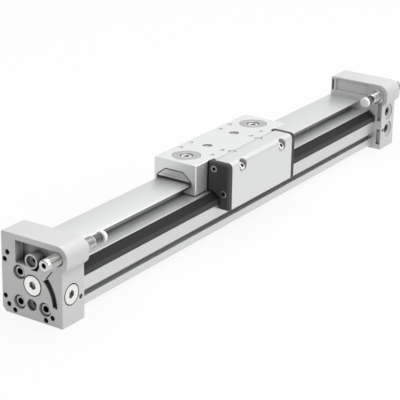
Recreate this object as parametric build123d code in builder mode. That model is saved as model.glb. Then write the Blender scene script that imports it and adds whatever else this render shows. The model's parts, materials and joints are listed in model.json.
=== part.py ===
from build123d import *

import os
from math import cos, hypot, radians, sin, sqrt

os.makedirs("parts", exist_ok=True)

# Rodless pneumatic cylinder with a guided slide, in millimetres.
# X runs along the cylinder, from the near cap (-X) to the far cap (+X), Z is up, and the driver
# is on the -Y side. The origin lies midway between the caps, under the bore, on the caps' underside.

# Overall sizes
BARREL_LENGTH = 490.0
CAP_THICKNESS = 27.0
CAP_WIDTH = 60.0
CAP_HEIGHT = 68.0
CAP_BULGE = 5.0
CAP_BULGE_LOW = 46.0
CAP_CORNER_RADIUS = 9.5
CAP_CORNER_CUT = 3.5
CAP_FAR_CORNER = 1.5

# Barrel section
BORE_DIAMETER = 25.0
BORE_HEIGHT = 24.5
BARREL_SIDE_WALL = 9.0
BARREL_BACK = 26.5
BARREL_FLOOR = 4.0
LEDGE_HEIGHT = 38.8
GROOVE_HEIGHT = 14.5
GROOVE_OPENING = 5.2
GROOVE_WIDTH = 8.0
GROOVE_LIP = 1.6
GROOVE_DEPTH = 4.8
BARREL_CORNER = 2.0
DUCT_DIAMETER = 6.0
DUCT_OFFSET = 19.5

# Guide rail on top of the barrel
RAIL_CENTRE = 13.5
RAIL_HALF = 17.2
RAIL_TOP = 48.8
RAIL_TIP_DROP = 1.3
RAIL_CHAMFER = 3.0
RAIL_EDGE = 0.5
RAIL_NECK_HALF = 7.6
RAIL_NECK_DROP = 7.6
NECK_RADIUS = 1.2

# Slot, cover band outside it and sealing band inside it
SLOT_ANGLE = 28.0
SLOT_WIDTH = 6.0
COVER_BAND_THICKNESS = 1.6
COVER_BAND_LOW = 29.0
COVER_BAND_FOLD = 34.3
COVER_BAND_TOP_ROOM = 1.9
COVER_BAND_RISE = 0.7
COVER_BAND_LIFT = 8.7
SEALING_BAND_WIDTH = 8.8
SEALING_BAND_THICKNESS = 0.8
SEALING_BAND_DIP = 9.0
BAND_RAMP = 17.0
BAND_CLAMP_THICKNESS = 0.9
BAND_CLAMP_LENGTH = 3.0

# End cap features
# Corners of the screws' square about the bore, as signs of Y and Z
CAP_SCREW_CORNERS = [(1, 1), (1, -1), (-1, -1)]
CAP_SCREW_WALL = 2.3
CAP_SCREW_DIAMETER = 6.0
CAP_SCREW_HEAD = 9.6
CAP_SCREW_HEAD_HEIGHT = 6.0
CAP_SCREW_SINK = 7.5
CAP_SCREW_BITE = 20.0
CAP_SCREW_SEAT = 11.8
CAP_SCREW_KEY = 5.0
SOCKET_SHARE = 0.6
SPIGOT_LENGTH = 8.0
GASKET_SECTION = 2.2
PORT_THREAD = 9.73
PORT_DEPTH = 11.0
PORT_FACE = 17.8
PORT_FACE_DEPTH = 2.6
PLUG_KEY = 6.0
PLUG_KEY_DEPTH = 5.0
PLUG_SHORT = 1.0
FRONT_PORT = (-0.5, 29.0)
SIDE_PORT_DEPTH = 11.5
SIDE_PORT_HEIGHT = 25.5
TWIN_PORT_DEPTH = 12.5
TWIN_PORT_HEIGHTS = (37.1, 18.7)
TWIN_PORT_FACE = 16.4
TWIN_PORT_FACE_DEPTH = 1.2
AIR_PASSAGE = 5.0
POCKET_DEPTH = 10.0
POCKET_STEP = (1.2, 3.0)
POCKET_LEFT = 16.0
POCKET_TOP = 63.0
POCKET_FLOOR = 44.4
POCKET_DIP = (0.8, 2.0)
BOSS_CENTRE = (0.4, 48.8)
BOSS_DIAMETER = 12.4
BOSS_SEAT = 9.4
LOWER_SEAT_CENTRE = (0.4, 12.4)
MOUNT_THREAD = 5.0
MOUNT_THREAD_DEPTH = 14.0
SEAT_DEPTH = 3.0
END_HOLES = [(24.1, 51.0), (26.9, 44.7), (26.9, 13.7), (23.5, 7.3), (17.5, 3.6), (-13.4, 3.2), (-19.9, 6.8)]
END_HOLE = 4.2
END_HOLE_DEPTH = 9.0
ARC_INNER = [(-11.4, 35.6), (-17.0, 28.2), (-20.3, 16.2)]
ARC_OUTER = [(-16.4, 38.6), (-22.4, 28.4), (-24.9, 15.3)]
ARC_RECESS_DEPTH = 4.0
# Narrow groove that runs on from the curved recess: middle, length, width and turn
LINE_CENTRE = (-17.4, 42.2)
LINE_SIZE = (9.0, 0.7)
LINE_TURN = 129.0
LINE_DEPTH = 0.8
CORED_RECESSES = [(-26.5, 39.5, 4.0, 19.0), (-26.5, 13.0, 4.0, 16.0), (28.0, 59.5, 2.0, 11.0)]
CORED_DEPTH = 3.0
SHALLOW_RECESS = (6.0, 60.0, 37.0, 12.0)
SHALLOW_DEPTH = 1.5
SIDE_HOLE_HEIGHT = 19.8
SIDE_HOLE = 3.8
SIDE_HOLE_DEPTH = 6.0
SIDE_HOLE_INSET = 4.3

# Shock absorbers
ABSORBER_CENTRE = (-25.0, 57.2)
ABSORBER_THREAD = 9.8
ABSORBER_TAIL = 15.3
ABSORBER_NOSE = 16.6
ABSORBER_NUT_AF = 13.0
ABSORBER_NUT_LENGTH = 5.0
ROD_DIAMETER = 6.0
ROD_VISIBLE = 10.4
ROD_GUIDED = 5.0
ROD_ROOM = 5.0
BUFFER_STROKE = 10.0
BUFFER_DIAMETER = 9.6
BUFFER_LENGTH = 4.0
ABSORBER_KEY = 4.0
ABSORBER_KEY_DEPTH = 4.0

# Slide
CARRIAGE_CENTRE = 11.5
SLIDE_LENGTH = 148.0
SLIDE_WALL_BACK = 4.3
SLIDE_WALL_SIDE = 5.8
SLIDE_TOP = 67.2
SLIDE_BOTTOM = 39.5
SLIDE_EDGE = 0.8
LAND_LENGTH = 95.0
LAND_WIDTH = 3.4
LAND_BOTTOM = 42.0
# Shoulders of the channel, as (beyond the rail's side, above its top)
CHANNEL_SHOULDERS = [(-0.2, 3.9), (1.4, 1.7)]
CHANNEL_GAP = 1.2
CHANNEL_MOUTH = 3.6
LINER_LIP = 0.5
CHANNEL_ROOF_RISE = 10.0
CHANNEL_ROOF_HALF = 9.2
CARRIER_LENGTH = 50.0
CARRIER_RISE = 4.3
CARRIER_COVER = 0.7
CARRIER_INSET = (0.2, 1.8)
WIPER_LENGTH = 4.0
SLIDE_THREAD = 5.0
SLIDE_THREAD_DEPTH = 10.0
SLIDE_THREAD_Y = 33.6
SLIDE_THREAD_X = (48.0, 80.5)
CENTRING_DIAMETER = 9.0
CENTRING_DEPTH = 2.1
CENTRING_THREAD = 6.0
CENTRING_THREAD_DEPTH = 7.0
CENTRING_SPACING = 44.0
DISC_DIAMETER = 25.4
DISC_THICKNESS = 2.4
DISC_SPACING = 110.0
ADJUSTER_DIAMETER = 11.3
ADJUSTER_SINK = 0.6
ADJUSTER_KEY = 5.0
ADJUSTER_KEY_DEPTH = 4.0

# Driver beside the slide
LIFTED_BAND_ROOM = 0.42
DRIVER_BOTTOM = 24.6
DRIVER_EDGE_RADIUS = 4.5
COVER_LENGTH = 100.6
COVER_WALL = 2.4
COVER_ROOF = 3.0
COVER_BEVEL = 9.2
DRIVER_CAP_LENGTH = 6.0
SEAM = 0.35
COVER_SCREW_SPACING = 66.0
COVER_SCREW_ANGLE = 40.0
COVER_SCREW_DROP = 5.2
COVER_SCREW_HEAD = 7.0
COVER_SCREW_HEAD_HEIGHT = 2.6
COVER_SCREW_LENGTH = 10.0
COVER_SCREW_SEAT = 11.4
COVER_SCREW_FLOOR = 4.2
PLATE_EDGE = 1.5
# Plate screws: the upper from the plate's inner and top edges, the lower from its side and bottom
UPPER_PLATE_SCREW = (6.55, 6.1)
LOWER_PLATE_SCREW = (5.4, 15.0)
SMALL_SCREW = 4.0
SMALL_SCREW_HEAD = 6.6
SMALL_SCREW_KEY = 3.0
SMALL_SCREW_BITE = 7.0
SMALL_SCREW_ROOM = 1.0
COVER_SCREW_KEY_DEPTH = 1.6
DOWEL_DIAMETER = 7.0
DOWEL_SPACING = 44.0
DOWEL_LENGTH = 11.0
DOWEL_SINK = 0.3

# Piston and yoke
PISTON_LENGTH = 124.0
PISTON_HEAD = 20.0
PISTON_RELIEF = 0.9
PISTON_BAND_ROOM = 0.8
RING_START = 4.0
RING_WIDTHS = {"piston_seals": 3.0, "piston_magnets": 2.5, "wear_rings": 3.0}
YOKE_LENGTH = 47.0
YOKE_BLADE = 4.8
YOKE_FOOT_HALF = 7.4
YOKE_FOOT = 3.0
YOKE_FOOT_DEPTH = 7.0
YOKE_FLANGE_HALF = 10.5
YOKE_FLANGE_ROOM = 0.57
YOKE_FLANGE = 2.8
YOKE_END_ROOM = 1.0
WINDOW_HALF = 7.2
WINDOW_ROOM = 0.5
GUIDE_WEDGE_SHARE = 0.8
GUIDE_WEDGE_TOP = 20.0

# Clearances
RUN_GAP = 0.4
GUIDE_GAP = 0.15
BORE_FIT = 0.05
SEAT_FIT = 0.05
ROD_FIT = 0.1

# Values worked out from the sizes
half_barrel = BARREL_LENGTH / 2
half_length = half_barrel + CAP_THICKNESS
cap_half = CAP_WIDTH / 2
bore_radius = BORE_DIAMETER / 2
barrel_side = bore_radius + BARREL_SIDE_WALL
screw_reach = (bore_radius + CAP_SCREW_WALL + CAP_SCREW_DIAMETER / 2) / sqrt(2)
cap_screw_points = [(y * screw_reach, BORE_HEIGHT + z * screw_reach) for y, z in CAP_SCREW_CORNERS]
tip_height = RAIL_TOP - RAIL_TIP_DROP
neck_height = RAIL_TOP - RAIL_NECK_DROP
undercut_slope = (tip_height - neck_height) / (RAIL_HALF - RAIL_NECK_HALF)
slide_front = CARRIAGE_CENTRE - SLIDE_LENGTH / 2
cover_front = CARRIAGE_CENTRE - COVER_LENGTH / 2
roof_height = RAIL_TOP + CHANNEL_ROOF_RISE
carrier_top = roof_height - CARRIER_COVER
slide_side = RAIL_CENTRE - RAIL_HALF - SLIDE_WALL_SIDE
slide_back = RAIL_CENTRE + RAIL_HALF + SLIDE_WALL_BACK
seam_y = slide_side - LAND_WIDTH
out_y = -cos(radians(SLOT_ANGLE))
out_z = sin(radians(SLOT_ANGLE))
crest = hypot(barrel_side, COVER_BAND_FOLD - BORE_HEIGHT)
flange_low = crest + YOKE_FLANGE_ROOM
foot_low = bore_radius - YOKE_FOOT_DEPTH
body_side = -barrel_side + COVER_BAND_LIFT * out_y - LIFTED_BAND_ROOM
driver_side = body_side - COVER_WALL
plate_near = slide_side - SEAM
plate_screw_points = [
    (plate_near - UPPER_PLATE_SCREW[0], SLIDE_TOP - UPPER_PLATE_SCREW[1]),
    (driver_side + LOWER_PLATE_SCREW[0], DRIVER_BOTTOM + LOWER_PLATE_SCREW[1]),
]


def section(x):
    """Cross-section plane of the cylinder at x, with Y to its right and Z up."""
    return Plane.YZ.offset(x)


def slot_section(x):
    """Cross-section plane at x whose own x axis runs from the bore's axis out along the slot."""
    return Plane(origin=(x, 0, BORE_HEIGHT), x_dir=(0, out_y, out_z), z_dir=(1, 0, 0))


def facing(x, y, z, normal):
    """Plane at a point on an outer face, with its normal pointing outwards."""
    across = (1, 0, 0) if normal[0] == 0 else (0, 1, 0)
    return Plane(origin=(x, y, z), x_dir=across, z_dir=normal)


def both_sides(half_outline):
    """Closed outline about the rail's centre line, from (half width, height) pairs."""
    right = [(RAIL_CENTRE - half, height) for half, height in half_outline]
    left = [(RAIL_CENTRE + half, height) for half, height in reversed(half_outline)]
    return right + left


def parallel(points, gap):
    """An open three-point outline moved to its left by gap, with its corner kept sharp."""
    (ax, ay), (bx, by), (cx, cy) = points
    first = hypot(bx - ax, by - ay)
    second = hypot(cx - bx, cy - by)
    n1 = (-(by - ay) / first, (bx - ax) / first)
    n2 = (-(cy - by) / second, (cx - bx) / second)
    share = gap / (1 + n1[0] * n2[0] + n1[1] * n2[1])
    start = (ax + gap * n1[0], ay + gap * n1[1])
    corner = (bx + share * (n1[0] + n2[0]), by + share * (n1[1] + n2[1]))
    end = (cx + gap * n2[0], cy + gap * n2[1])
    return [start, corner, end]


def across_corners(flats):
    """Corner radius of a hexagon with the given width across flats."""
    return flats / sqrt(3)


def undercut(gap):
    """The rail's undercut grown by gap, as (half width, height) at its tip and at its neck."""
    fall = gap * (undercut_slope - sqrt(1 + undercut_slope**2))
    return [(RAIL_HALF + gap, tip_height + fall), (RAIL_NECK_HALF + gap, neck_height + fall)]


def rail_head(gap):
    """Outline of the guide rail, grown by gap, down to the ledge."""
    top = (RAIL_HALF + gap, RAIL_TOP + gap)
    return both_sides([top, *undercut(gap), (RAIL_NECK_HALF + gap, LEDGE_HEIGHT)])


def sunk_screws(x, out, points, head, head_height, shank, length, key):
    """Cylinder-head screws with their heads' faces at x, and out as the sign of X they face."""
    with BuildSketch(section(x)) as heads:
        with Locations(*points):
            Circle(head / 2)
    extrude(heads.sketch, amount=-out * head_height)
    with BuildSketch(section(x - out * head_height)) as shanks:
        with Locations(*points):
            Circle(shank / 2)
    extrude(shanks.sketch, amount=-out * length)
    with BuildSketch(section(x)) as sockets:
        with Locations(*points):
            RegularPolygon(across_corners(key), 6)
    extrude(sockets.sketch, amount=-out * head_height * SOCKET_SHARE, mode=Mode.SUBTRACT)


def drill(plane, radius, depth):
    """Blind hole from a plane on an outer face."""
    with BuildSketch(plane) as mouth:
        Circle(radius)
    extrude(mouth.sketch, amount=-depth, mode=Mode.SUBTRACT)


# Outer faces of the cover band: up the barrel's side, then slanting in over the slot
band_outline = [
    (-barrel_side, COVER_BAND_LOW),
    (-barrel_side, COVER_BAND_FOLD),
    (seam_y - COVER_BAND_TOP_ROOM, LEDGE_HEIGHT + COVER_BAND_RISE),
]
band_seat = parallel(band_outline, -COVER_BAND_THICKNESS)
band_clear = parallel(band_outline, RUN_GAP)
band_section = band_outline + band_seat[::-1]

# Barrel with its guide rail
barrel_outline = [
    (-barrel_side, BARREL_FLOOR),
    (-barrel_side, COVER_BAND_LOW),
    *band_seat,
    (band_seat[2][0] + COVER_BAND_RISE, LEDGE_HEIGHT),
    (RAIL_CENTRE - RAIL_NECK_HALF, LEDGE_HEIGHT),
    (RAIL_CENTRE - RAIL_NECK_HALF, neck_height),
    (RAIL_CENTRE - RAIL_HALF, tip_height),
    (RAIL_CENTRE - RAIL_HALF + RAIL_CHAMFER, RAIL_TOP),
    (RAIL_CENTRE + RAIL_HALF - RAIL_EDGE, RAIL_TOP),
    (RAIL_CENTRE + RAIL_HALF, RAIL_TOP - RAIL_EDGE),
    (RAIL_CENTRE + RAIL_HALF, tip_height),
    (RAIL_CENTRE + RAIL_NECK_HALF, neck_height),
    (RAIL_CENTRE + RAIL_NECK_HALF, LEDGE_HEIGHT),
    (BARREL_BACK, LEDGE_HEIGHT),
    (BARREL_BACK, BARREL_FLOOR),
]
groove_mouths = [(-barrel_side, 1), (BARREL_BACK, -1)]
with BuildPart() as barrel:
    with BuildSketch(section(-half_barrel)) as barrel_face:
        Polygon(*barrel_outline, align=None)
        fillet(barrel_face.vertices().group_by(Axis.Y)[0], BARREL_CORNER)
        neck_sides = (RAIL_CENTRE - RAIL_NECK_HALF, RAIL_CENTRE + RAIL_NECK_HALF)
        ledge_corners = [
            barrel_face.vertices().sort_by_distance((side, LEDGE_HEIGHT, 0))[0] for side in neck_sides
        ]
        fillet(ledge_corners, NECK_RADIUS)
    extrude(amount=BARREL_LENGTH)
    with BuildSketch(section(-half_barrel)):
        with Locations((0, BORE_HEIGHT)):
            Circle(bore_radius)
        with Locations((DUCT_OFFSET, BORE_HEIGHT)):
            Circle(DUCT_DIAMETER / 2)
        with Locations(*cap_screw_points):
            Circle(CAP_SCREW_DIAMETER / 2 + SEAT_FIT)
        for mouth, inward in groove_mouths:
            with Locations((mouth + inward * GROOVE_DEPTH / 2, GROOVE_HEIGHT)):
                Rectangle(GROOVE_DEPTH, GROOVE_OPENING)
            with Locations((mouth + inward * (GROOVE_DEPTH + GROOVE_LIP) / 2, GROOVE_HEIGHT)):
                Rectangle(GROOVE_DEPTH - GROOVE_LIP, GROOVE_WIDTH)
    extrude(amount=BARREL_LENGTH, mode=Mode.SUBTRACT)
    with BuildSketch(slot_section(-half_barrel)):
        with Locations((bore_radius, 0)):
            Rectangle(barrel_side, SLOT_WIDTH, align=(Align.MIN, Align.CENTER))
        with Locations((bore_radius + SEALING_BAND_THICKNESS + 2 * SEAT_FIT, 0)):
            Rectangle(bore_radius / 2, SEALING_BAND_WIDTH + 4 * SEAT_FIT, align=(Align.MAX, Align.CENTER))
    extrude(amount=BARREL_LENGTH, mode=Mode.SUBTRACT)
barrel.part.label = "barrel_profile"
export_step(barrel.part, "parts/barrel_profile.step")


def end_cap(out, side_ports):
    """Cast cap at one end; out is the sign of X that it faces, side_ports lists (inset, height, face)."""
    inner = out * half_barrel
    outer = out * half_length
    side = -cap_half
    with BuildPart() as cap:
        with BuildSketch(section(inner)) as cap_face:
            Polygon(
                (cap_half, CAP_CORNER_CUT),
                (cap_half, CAP_HEIGHT),
                (side - CAP_BULGE, CAP_HEIGHT),
                (side - CAP_BULGE, CAP_BULGE_LOW + CAP_BULGE),
                (side, CAP_BULGE_LOW),
                (side, 0),
                (cap_half - CAP_CORNER_CUT, 0),
                align=None,
            )
            fillet(cap_face.vertices().group_by(Axis.Y)[-1].sort_by(Axis.X)[0], CAP_CORNER_RADIUS)
            fillet(cap_face.vertices().group_by(Axis.X)[0].sort_by(Axis.Y)[0], CAP_BULGE)
            fillet(cap_face.vertices().group_by(Axis.Y)[-1].sort_by(Axis.X)[-1], CAP_FAR_CORNER)
        extrude(amount=out * CAP_THICKNESS)
        # Spigot in the bore, stepped at its root for the gasket
        with BuildSketch(section(inner)):
            with Locations((0, BORE_HEIGHT)):
                Circle(bore_radius - BORE_FIT)
        extrude(amount=-out * SPIGOT_LENGTH)
        with BuildSketch(section(inner)):
            with Locations((0, BORE_HEIGHT)):
                Circle(bore_radius)
                Circle(bore_radius - GASKET_SECTION, mode=Mode.SUBTRACT)
        extrude(amount=-out * GASKET_SECTION, mode=Mode.SUBTRACT)
        # Pocket in the outer face, rounded about the shock absorber, with its boss left standing
        ay, az = ABSORBER_CENTRE
        reach = POCKET_TOP - az
        boss_y, boss_z = BOSS_CENTRE
        boss = BOSS_DIAMETER / 2
        dip, dip_y = POCKET_DIP
        step, step_depth = POCKET_STEP
        for left, depth in ((POCKET_LEFT, POCKET_DEPTH - step_depth), (POCKET_LEFT - step, POCKET_DEPTH)):
            with BuildSketch(section(outer)):
                Polygon(
                    (left, POCKET_TOP),
                    (left, POCKET_FLOOR),
                    (boss_y + boss, POCKET_FLOOR),
                    (boss_y - dip_y, boss_z - boss - dip),
                    (boss_y - boss, boss_z - boss - dip / 2),
                    (boss_y - boss - 2 * dip_y, az - reach),
                    (ay, az - reach),
                    (ay, POCKET_TOP),
                    align=None,
                )
                with Locations(ABSORBER_CENTRE):
                    Circle(reach)
                with Locations(BOSS_CENTRE):
                    Circle(boss, mode=Mode.SUBTRACT)
            extrude(amount=-out * depth, mode=Mode.SUBTRACT)
        # Seats, screw holes and threaded holes in the outer face
        with BuildSketch(section(outer)):
            with Locations(*cap_screw_points):
                Circle(CAP_SCREW_SEAT / 2)
        extrude(amount=-out * CAP_SCREW_SINK, mode=Mode.SUBTRACT)
        with BuildSketch(section(outer)):
            with Locations(*cap_screw_points):
                Circle(CAP_SCREW_DIAMETER / 2 + SEAT_FIT)
            with Locations(ABSORBER_CENTRE):
                Circle(ABSORBER_THREAD / 2 + SEAT_FIT)
        extrude(amount=-out * CAP_THICKNESS, mode=Mode.SUBTRACT)
        with BuildSketch(section(outer)):
            with Locations(BOSS_CENTRE, LOWER_SEAT_CENTRE):
                Circle(BOSS_SEAT / 2)
        extrude(amount=-out * SEAT_DEPTH, mode=Mode.SUBTRACT)
        with BuildSketch(section(outer)):
            with Locations(BOSS_CENTRE, LOWER_SEAT_CENTRE):
                Circle(MOUNT_THREAD / 2)
        extrude(amount=-out * MOUNT_THREAD_DEPTH, mode=Mode.SUBTRACT)
        with BuildSketch(section(outer)):
            with Locations(*END_HOLES):
                Circle(END_HOLE / 2)
        extrude(amount=-out * END_HOLE_DEPTH, mode=Mode.SUBTRACT)
        # Curved recess beside the front port
        with BuildSketch(section(outer)):
            with BuildLine():
                inner_edge = ThreePointArc(*ARC_INNER)
                outer_edge = ThreePointArc(*ARC_OUTER)
                Line(inner_edge @ 0, outer_edge @ 0)
                Line(inner_edge @ 1, outer_edge @ 1)
            make_face()
        extrude(amount=-out * ARC_RECESS_DEPTH, mode=Mode.SUBTRACT)
        with BuildSketch(section(outer)):
            with Locations(LINE_CENTRE):
                Rectangle(*LINE_SIZE, rotation=LINE_TURN)
        extrude(amount=-out * LINE_DEPTH, mode=Mode.SUBTRACT)
        # Cored recesses in the inner face
        with BuildSketch(section(inner)):
            for y, z, width, height in CORED_RECESSES:
                with Locations((y, z)):
                    Rectangle(width, height)
        extrude(amount=out * CORED_DEPTH, mode=Mode.SUBTRACT)
        y, z, width, height = SHALLOW_RECESS
        with BuildSketch(section(inner)):
            with Locations((y, z)):
                Rectangle(width, height)
        extrude(amount=out * SHALLOW_DEPTH, mode=Mode.SUBTRACT)
        # Ports: one in the outer face, the others in the side
        front_mouth = facing(outer, *FRONT_PORT, (out, 0, 0))
        drill(front_mouth, PORT_FACE / 2, PORT_FACE_DEPTH)
        drill(front_mouth, PORT_THREAD / 2, PORT_DEPTH)
        drill(front_mouth, AIR_PASSAGE / 2, CAP_THICKNESS + SPIGOT_LENGTH)
        for inset, height, face, face_depth in side_ports:
            side_mouth = facing(outer - out * inset, side, height, (0, -1, 0))
            drill(side_mouth, face / 2, face_depth)
            drill(side_mouth, PORT_THREAD / 2, PORT_DEPTH)
        side_hole = facing(inner + out * SIDE_HOLE_INSET, side, SIDE_HOLE_HEIGHT, (0, -1, 0))
        drill(side_hole, SIDE_HOLE / 2, SIDE_HOLE_DEPTH)
    return cap


near_ports = [(SIDE_PORT_DEPTH, SIDE_PORT_HEIGHT, PORT_FACE, PORT_FACE_DEPTH)]
far_ports = [(TWIN_PORT_DEPTH, height, TWIN_PORT_FACE, TWIN_PORT_FACE_DEPTH) for height in TWIN_PORT_HEIGHTS]
near_cap = end_cap(-1, near_ports)
near_cap.part.label = "near_end_cap"
export_step(near_cap.part, "parts/near_end_cap.step")
far_cap = end_cap(1, far_ports)
far_cap.part.label = "far_end_cap"
export_step(far_cap.part, "parts/far_end_cap.step")


def port_plug(mouth):
    """Flush blanking plug with a hexagon socket, seated in a port's face."""
    with BuildPart() as plug:
        with BuildSketch(mouth):
            Circle(PORT_FACE / 2 - 3 * SEAT_FIT)
        extrude(amount=-PORT_FACE_DEPTH)
        with BuildSketch(mouth):
            Circle(PORT_THREAD / 2 - SEAT_FIT)
        extrude(amount=-PORT_DEPTH + PLUG_SHORT)
        with BuildSketch(mouth):
            RegularPolygon(across_corners(PLUG_KEY), 6)
        extrude(amount=-PLUG_KEY_DEPTH, mode=Mode.SUBTRACT)
    return plug


near_front_plug = port_plug(facing(-half_length, *FRONT_PORT, (-1, 0, 0)))
near_front_plug.part.label = "near_front_plug"
export_step(near_front_plug.part, "parts/near_front_plug.step")
near_side_plug = port_plug(facing(-half_length + SIDE_PORT_DEPTH, -cap_half, SIDE_PORT_HEIGHT, (0, -1, 0)))
near_side_plug.part.label = "near_side_plug"
export_step(near_side_plug.part, "parts/near_side_plug.step")
far_end_plug = port_plug(facing(half_length, *FRONT_PORT, (1, 0, 0)))
far_end_plug.part.label = "far_end_plug"
export_step(far_end_plug.part, "parts/far_end_plug.step")

# Cap screws, gaskets, band clamps and shock absorbers, the same at both ends
for end, out in (("near", -1), ("far", 1)):
    inner = out * half_barrel
    outer = out * half_length
    head_face = outer - out * (CAP_SCREW_SINK - CAP_SCREW_HEAD_HEIGHT)
    shank = CAP_THICKNESS - CAP_SCREW_SINK + CAP_SCREW_BITE
    with BuildPart() as cap_screws:
        sunk_screws(
            head_face,
            out,
            cap_screw_points,
            CAP_SCREW_HEAD,
            CAP_SCREW_HEAD_HEIGHT,
            CAP_SCREW_DIAMETER,
            shank,
            CAP_SCREW_KEY,
        )
    cap_screws.part.label = f"{end}_cap_screws"
    export_step(cap_screws.part, f"parts/{end}_cap_screws.step")

    with BuildPart() as gasket:
        with BuildSketch(section(inner)):
            with Locations((0, BORE_HEIGHT)):
                Circle(bore_radius - SEAT_FIT / 2)
                Circle(bore_radius - GASKET_SECTION + SEAT_FIT, mode=Mode.SUBTRACT)
        extrude(amount=-out * (GASKET_SECTION - SEAT_FIT))
    gasket.part.label = f"{end}_cap_gasket"
    export_step(gasket.part, f"parts/{end}_cap_gasket.step")

    with BuildPart() as band_clamp:
        with BuildSketch(section(inner)):
            Polygon(*band_outline, *parallel(band_outline, BAND_CLAMP_THICKNESS)[::-1], align=None)
        extrude(amount=-out * BAND_CLAMP_LENGTH)
    band_clamp.part.label = f"{end}_band_clamp"
    export_step(band_clamp.part, f"parts/{end}_band_clamp.step")

    tail = outer + out * ABSORBER_TAIL
    nose = inner - out * ABSORBER_NOSE
    bore_depth = BUFFER_STROKE + ROD_GUIDED + ROD_ROOM
    with BuildPart() as absorber_body:
        with BuildSketch(section(tail)):
            with Locations(ABSORBER_CENTRE):
                Circle(ABSORBER_THREAD / 2)
        extrude(amount=nose - tail)
        with BuildSketch(section(tail)):
            with Locations(ABSORBER_CENTRE):
                RegularPolygon(across_corners(ABSORBER_KEY), 6)
        extrude(amount=-out * ABSORBER_KEY_DEPTH, mode=Mode.SUBTRACT)
        with BuildSketch(section(nose)):
            with Locations(ABSORBER_CENTRE):
                Circle(ROD_DIAMETER / 2 + ROD_FIT)
        extrude(amount=out * bore_depth, mode=Mode.SUBTRACT)
    absorber_body.part.label = f"{end}_absorber_body"
    export_step(absorber_body.part, f"parts/{end}_absorber_body.step")

    with BuildPart() as absorber_nut:
        with BuildSketch(section(inner)):
            with Locations(ABSORBER_CENTRE):
                RegularPolygon(across_corners(ABSORBER_NUT_AF), 6)
                Circle(ABSORBER_THREAD / 2 + SEAT_FIT, mode=Mode.SUBTRACT)
        extrude(amount=-out * ABSORBER_NUT_LENGTH)
    absorber_nut.part.label = f"{end}_absorber_nut"
    export_step(absorber_nut.part, f"parts/{end}_absorber_nut.step")

    rod_end = nose - out * ROD_VISIBLE
    with BuildPart() as absorber_rod:
        with BuildSketch(section(rod_end)):
            with Locations(ABSORBER_CENTRE):
                Circle(ROD_DIAMETER / 2)
        extrude(amount=out * (ROD_VISIBLE + ROD_GUIDED))
    absorber_rod.part.label = f"{end}_absorber_rod"
    export_step(absorber_rod.part, f"parts/{end}_absorber_rod.step")

    with BuildPart() as buffer:
        with BuildSketch(section(rod_end)):
            with Locations(ABSORBER_CENTRE):
                Circle(BUFFER_DIAMETER / 2)
        extrude(amount=-out * BUFFER_LENGTH)
    buffer.part.label = f"{end}_buffer"
    export_step(buffer.part, f"parts/{end}_buffer.step")

# Bands. Each is lifted clear of the yoke under the driver, between two straight runs.
flat_half = YOKE_LENGTH / 2 + YOKE_END_ROOM
band_stations = [
    (-half_barrel, 0.0),
    (CARRIAGE_CENTRE - flat_half - BAND_RAMP, 0.0),
    (CARRIAGE_CENTRE - flat_half, 1.0),
    (CARRIAGE_CENTRE + flat_half, 1.0),
    (CARRIAGE_CENTRE + flat_half + BAND_RAMP, 0.0),
    (half_barrel, 0.0),
]
with BuildPart() as cover_band:
    for (x0, lift0), (x1, lift1) in zip(band_stations, band_stations[1:]):
        for x, lift in ((x0, lift0), (x1, lift1)):
            move = lift * COVER_BAND_LIFT
            with BuildSketch(section(x)):
                Polygon(*[(y + move * out_y, z + move * out_z) for y, z in band_section], align=None)
        loft()
cover_band.part.label = "cover_band"
export_step(cover_band.part, "parts/cover_band.step")

with BuildPart() as sealing_band:
    for (x0, dip0), (x1, dip1) in zip(band_stations, band_stations[1:]):
        for x, dip in ((x0, dip0), (x1, dip1)):
            with BuildSketch(slot_section(x)):
                with Locations((bore_radius + SEAT_FIT - dip * SEALING_BAND_DIP, 0)):
                    Rectangle(SEALING_BAND_THICKNESS, SEALING_BAND_WIDTH, align=(Align.MIN, Align.CENTER))
        loft()
sealing_band.part.label = "sealing_band"
export_step(sealing_band.part, "parts/sealing_band.step")

# Piston, open between its heads for the sealing band and the yoke's foot
piston_front = CARRIAGE_CENTRE - PISTON_LENGTH / 2
with BuildPart() as piston:
    with BuildSketch(section(piston_front)):
        with Locations((0, BORE_HEIGHT)):
            Circle(bore_radius - 2 * BORE_FIT)
    extrude(amount=PISTON_LENGTH)
    core_front = piston_front + PISTON_HEAD
    core_length = PISTON_LENGTH - 2 * PISTON_HEAD
    with BuildSketch(section(core_front)):
        with Locations((0, BORE_HEIGHT)):
            Circle(bore_radius)
            Circle(bore_radius - PISTON_RELIEF, mode=Mode.SUBTRACT)
    extrude(amount=core_length, mode=Mode.SUBTRACT)
    band_low = bore_radius - SEALING_BAND_DIP - PISTON_BAND_ROOM
    with BuildSketch(slot_section(core_front)):
        with Locations((band_low, 0)):
            Rectangle(
                bore_radius, SEALING_BAND_WIDTH + 2 * PISTON_BAND_ROOM, align=(Align.MIN, Align.CENTER)
            )
    extrude(amount=core_length, mode=Mode.SUBTRACT)
    with BuildSketch(slot_section(CARRIAGE_CENTRE - YOKE_LENGTH / 2 - SEAT_FIT)):
        with Locations((foot_low, 0)):
            Rectangle(bore_radius, 2 * (YOKE_FOOT_HALF + SEAT_FIT), align=(Align.MIN, Align.CENTER))
    extrude(amount=YOKE_LENGTH + 2 * SEAT_FIT, mode=Mode.SUBTRACT)
    groove_width = sum(RING_WIDTHS.values())
    for x in (piston_front + RING_START, piston_front + PISTON_LENGTH - RING_START - groove_width):
        with BuildSketch(section(x)):
            with Locations((0, BORE_HEIGHT)):
                Circle(bore_radius)
                Circle(bore_radius - GASKET_SECTION, mode=Mode.SUBTRACT)
        extrude(amount=groove_width, mode=Mode.SUBTRACT)
piston.part.label = "piston"
export_step(piston.part, "parts/piston.step")

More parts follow.
